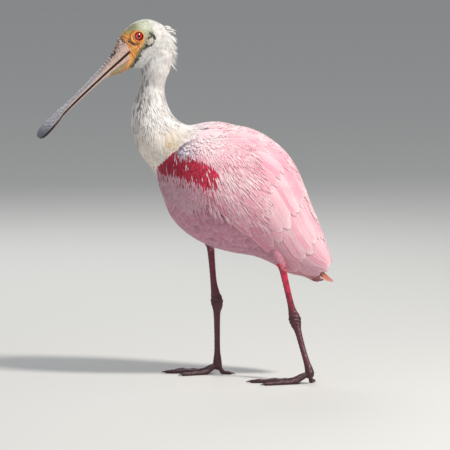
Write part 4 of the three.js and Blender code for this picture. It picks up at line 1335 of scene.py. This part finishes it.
def under_colour(p, height):
    """The lower half of the bill, with the soft pouch below the groove at its root"""
    colour = blend(horn_colour(p, height * 0.3), HORN_PINK, 0.35)
    colour = blend(colour, CREASE_BROWN, height**6 * fade(p[..., 0], -175, -120) * 0.25)
    x, z = np.array(GROOVE, float).T
    below = np.interp(p[..., 0], x, z) - p[..., 2]
    pouch = fade(below, 0, 1.5) * fade(p[..., 0], -113, -108)
    skin = blend(POUCH_OLIVE, FACE_ORANGE, fade(p[..., 0], -92, -82) * 0.8)
    skin = blend(skin, POUCH_PINK, height**3 * 0.8)
    colour = blend(colour, skin, pouch)
    return blend(colour, EAR_CRACK, stroke(p, GROOVE, 0.9) * 0.75)


mandible("bill_top", 1, "bill_upper")
mandible("bill_under", -1, "bill_lower")


def eye(side, name):
    """The eyeball, its pole turned outward, with pupil and iris painted on it"""
    rows, columns = 60, 64
    polar = np.linspace(0.001, np.pi, rows)
    turn = np.linspace(0, 2 * np.pi, columns, endpoint=False)
    p, a = np.meshgrid(polar, turn, indexing="ij")
    grid = np.stack([np.sin(p) * np.cos(a), side * np.cos(p), np.sin(p) * np.sin(a)], -1)
    points, faces = tube(EYE * [1, side, 1] + grid * EYE_RADIUS)
    radius = np.concatenate([(np.sin(p) * EYE_RADIUS).reshape(-1), [0, 0]])
    outward = (points[:, 1] - side * EYE[1]) * side > 0
    streak = 0.5 + 0.5 * np.sin(np.arctan2(points[:, 2] - EYE[2], points[:, 0] - EYE[0]) * 23)
    colours = blend(IRIS, IRIS_STREAK, streak * 0.35)
    colours = blend(colours, IRIS_RIM, fade(radius, IRIS_RADIUS - 1.3, IRIS_RADIUS))
    colours = blend(colours, BLACK, fade(-radius, -PUPIL_RADIUS - 0.25, -PUPIL_RADIUS))
    colours = np.where(outward[:, None], colours, BLACK)
    uv = tube_uv(rows, columns)
    piece("eyeball_" + name, turned(points), faces, colours, uv, EYEBALL, ["eye_" + name])


for name, side in SIDES.items():
    eye(side, name)


def leg_colour(p, side):
    """Red above, dark below the hock; the right leg's red is darker, as painted shade from the body"""
    z = p[..., 2]
    # The far, right leg's red is darkened as painted shade from the body
    hock, red = (103, LEG_RED_IN_SHADE) if side == "right" else (86, LEG_RED)
    colour = blend(LEG_DARK, red, fade(z, hock + 4, hock + 58))
    colour = blend(colour, LEG_BLACK, fade(-z, -40, -8) * 0.7)
    colour = blend(colour, LEG_BLACK, bump(z, hock, 9) * 0.4)
    return blend(colour, LEG_BLACK, fade(clouds(p, 5, 4), 0.0, 0.5) * 0.5)


def leg(side):
    """Shank and tarsus, with scutes down the front and knobs at the hock"""
    sides = 36
    rows = LEGS[side]
    places = np.linspace(THIGH_ROWS - 0.6, len(rows) - 1, 260)

    def swell(at, angle):
        front = fade(np.cos(angle), 0.1, 0.7)[None, :]
        scutes = 0.07 * np.abs(np.sin(at * 13))[:, None] * front
        knobs = 0.05 * np.sin(at[:, None] * 9 + angle[None, :] * 3) * bump(at[:, None], 8, 1.2)
        return 1 + scutes + knobs

    points, faces = tube(limb(rows, sides, places, swell))
    uv = tube_uv(len(places), sides)
    nodes = ["shank_" + side, "tarsus_" + side]
    piece("leg_" + side, points, faces, leg_colour(points, side), uv, LEG, nodes)


def trousers(side):
    """Feathers over the thigh, hanging a little over the top of the bare leg"""
    steps = 6
    ring_places = np.linspace(1.2, 3.1, 13)
    rings, turn = np.meshgrid(ring_places, np.linspace(0, 2 * np.pi, 30, endpoint=False), indexing="ij")
    count = rings.size
    root_at = (rings + random.uniform(-0.08, 0.08, rings.shape)).reshape(-1)
    angle = (turn + random.uniform(-0.1, 0.1, turn.shape)).reshape(-1)
    place_at = root_at[:, None] + np.linspace(0, 1, steps)[None, :] * random.uniform(0.85, 1.25, (count, 1))
    row = curve(LEGS[side], place_at)
    thigh = curve(LEGS[side], np.minimum(place_at, THIGH_ROWS - 0.1))
    width = np.maximum(row[..., 3:], thigh[..., 3:] * 0.86)
    flat = np.zeros((count, steps, 3))
    flat[..., 0] = width[..., 0] * np.cos(angle)[:, None]
    flat[..., 1] = width[..., 1] * np.sin(angle)[:, None]
    form = dict(outline=WISP, columns=3, lift=(-1.4, 0.2), camber=0.25, fray=0.12)
    paint = plume_paint(body_colour, PALE_PINK, ROSE, 0.2, 0.1, 0.07)
    half = random.uniform(1.3, 2.1, count)
    place = (angle / 6.5, (root_at - 1) / 4)
    feathers("thigh_coat_" + side, row[..., :3] + flat, unit(flat), half, form, paint, place)


def toe_path(joint, toe):
    """Middles and radius of a toe from its joint to the root of its claw, thicker at the knuckles"""
    length = np.hypot(toe[0] - joint[0], toe[1] - joint[1])
    t = np.linspace(0, 1, TOE_ROWS)
    share = t * (1 - CLAW_LENGTH / length)
    knuckles = sum(bump(share, k, 0.05) for k in (0.3, 0.55, 0.8))
    thick = mix(toe[2], toe[2] * 0.62, t) * (1 + 0.14 * knuckles)
    x, y = mix(joint[0], toe[0], share), mix(joint[1], toe[1], share)
    z = mix(joint[2], thick - 0.35, fade(share, 0, 0.34))
    return np.stack([x, y, z, thick], -1)


def toe_tube(rows, sides):
    """Rings round a toe or claw, flattened where it meets the floor"""
    along = unit(np.gradient(rows[:, :3], axis=0))
    up = unit(np.array([0, 0, 1.0]) - along * along[:, 2:3])
    across = np.cross(up, along)
    angle = np.linspace(0, 2 * np.pi, sides, endpoint=False)
    grid = (
        rows[:, None, :3]
        + up[:, None] * (rows[:, 3:4] * np.cos(angle))[..., None]
        + across[:, None] * (rows[:, 3:4] * np.sin(angle))[..., None]
    )
    grid[..., 2] = np.maximum(grid[..., 2], 0)
    return grid


def foot(side):
    """Four toes with their scutes, webs and claws, and the ball that they leave"""
    joint, toes = FEET[side]
    paths = [toe_path(joint, toe) for toe in toes]
    parts = []
    for i, path in enumerate(paths):
        path[:, 3] *= 1 + 0.035 * np.abs(np.sin(np.linspace(0, 34, TOE_ROWS)))
        points, faces = tube(toe_tube(path, TOE_SIDES))
        box = (0.02 + 0.24 * i, 0.02, 0.22 + 0.24 * i, 0.7)
        parts.append((points, faces, leg_colour(points, side), tube_uv(TOE_ROWS, TOE_SIDES, box)))
    for i, (one, other) in enumerate(((paths[1], paths[2]), (paths[2], paths[3]))):
        parts.append(web(one, other, side, (0.02 + 0.3 * i, 0.74, 0.3 + 0.3 * i, 0.98)))
    polar, turn = np.linspace(0.01, np.pi - 0.01, 24), np.linspace(0, 2 * np.pi, 24)[:-1]
    polar, turn = np.meshgrid(polar, turn, indexing="ij")
    ball = np.stack([np.sin(polar) * np.cos(turn), np.sin(polar) * np.sin(turn), np.cos(polar)], -1)
    points, faces = tube(np.array(joint, float) + ball * [6.6, 6.4, 6.2])
    parts.append((points, faces, leg_colour(points, side), tube_uv(*polar.shape, (0.7, 0.74, 0.98, 0.98))))
    piece("toes_" + side, *join(parts), LEG, ["foot_" + side])
    for name, toe, path in zip(TOE_NAMES, toes, paths):
        claw(name + "_" + side, toe, path[-1], joint)


def web(one, other, side, box):
    """The skin between two toes near their roots"""
    rows, columns = 20, 12
    i, j = np.meshgrid(np.linspace(0, 1, rows), np.linspace(0, 1, columns), indexing="ij")
    pull = 1 - 0.55 * np.sin(np.pi * j) * i
    place = i * pull * 0.52 * (len(one) - 1)
    top = mix(curve(one, place)[..., :3], curve(other, place)[..., :3], j[..., None])
    thick = np.array([0, 0, 0.5])
    points, faces = tube(np.concatenate([top + thick, (top - thick)[:, ::-1]], axis=1))
    return points, faces, leg_colour(points, side), tube_uv(rows, 2 * columns, box)


def claw(name, toe, start, joint):
    """The curved claw that runs on from a toe's last ring"""
    rows, sides = 16, 14
    way = unit(np.array([toe[0] - joint[0], toe[1] - joint[1], 0.0]))
    t = np.linspace(0, 1, rows)[:, None]
    path = start[:3] + way * (t * CLAW_LENGTH)
    path[:, 2] = mix(start[2], 1.1, t[:, 0] ** 1.5) + 0.6 * np.sin(np.pi * t[:, 0])
    thick = mix(start[3] * 0.74, 0.4, t**0.8)
    points, faces = tube(toe_tube(np.concatenate([path, thick], axis=1), sides))
    colours = np.tile(LEG_BLACK * 0.6, (len(points), 1))
    piece("nail_" + name, points, faces, colours, tube_uv(rows, sides), CLAW, ["claw_" + name])


for name in SIDES:
    leg(name)
    trousers(name)
    foot(name)


# Studio: lengths in metres
TARGET = (np.array([54.6, 0, 215.4]) + SHIFT) * MM
DISTANCE = 10.5
ELEVATION = np.radians(6)
LENS_MM = 600
SENSOR_MM = 36
FLOOR_REACH = 30
FLOOR_COLOUR = (0.62, 0.62, 0.6, 1)
SKY_COLOUR = (0.82, 0.85, 0.9, 1)
SKY_STRENGTH = 0.42
# Name, place, size, power and colour
LIGHTS = [
    ("key", (1.6, -1.1, 2.3), 0.4, 84, (1, 0.96, 0.9)),
    ("fill", (-1.6, -1.9, 0.9), 1.6, 7, (0.9, 0.93, 1)),
    ("back", (-0.4, 1.8, 1.4), 1.2, 14, (1, 1, 1)),
]


def staged(name, data, place=None):
    """An object of the studio, turned to the bird if it has a place"""
    made = bpy.data.objects.new(name, data)
    if place is not None:
        made.location = place
        made.rotation_euler = (Vector(TARGET) - Vector(place)).to_track_quat("-Z", "Y").to_euler()
    bpy.context.collection.objects.link(made)
    return made


camera_data = bpy.data.cameras.new("camera")
camera_data.lens = LENS_MM
camera_data.sensor_width = SENSOR_MM
camera_data.clip_end = 100
back_and_up = DISTANCE * np.array([0, -np.cos(ELEVATION), np.sin(ELEVATION)])
bpy.context.scene.camera = staged("camera", camera_data, (TARGET + back_and_up).tolist())

for name, place, size, power, colour in LIGHTS:
    light = bpy.data.lights.new(name, "AREA")
    light.size = size
    light.energy = power
    light.color = colour
    staged(name, light, place)

floor_mesh = bpy.data.meshes.new("floor")
corners = [(x * FLOOR_REACH, y * FLOOR_REACH, 0) for x, y in ((-1, -1), (1, -1), (1, 1), (-1, 1))]
floor_mesh.from_pydata(corners, [], [(0, 1, 2, 3)])
pale = bpy.data.materials.new("floor")
pale.use_nodes = True
pale.node_tree.nodes["Principled BSDF"].inputs["Base Color"].default_value = FLOOR_COLOUR
pale.node_tree.nodes["Principled BSDF"].inputs["Roughness"].default_value = 0.8
floor_mesh.materials.append(pale)
staged("floor", floor_mesh)

world = bpy.data.worlds.new("studio")
world.use_nodes = True
world.node_tree.nodes["Background"].inputs["Color"].default_value = SKY_COLOUR
world.node_tree.nodes["Background"].inputs["Strength"].default_value = SKY_STRENGTH
bpy.context.scene.world = world
bpy.context.scene.view_settings.view_transform = "Standard"
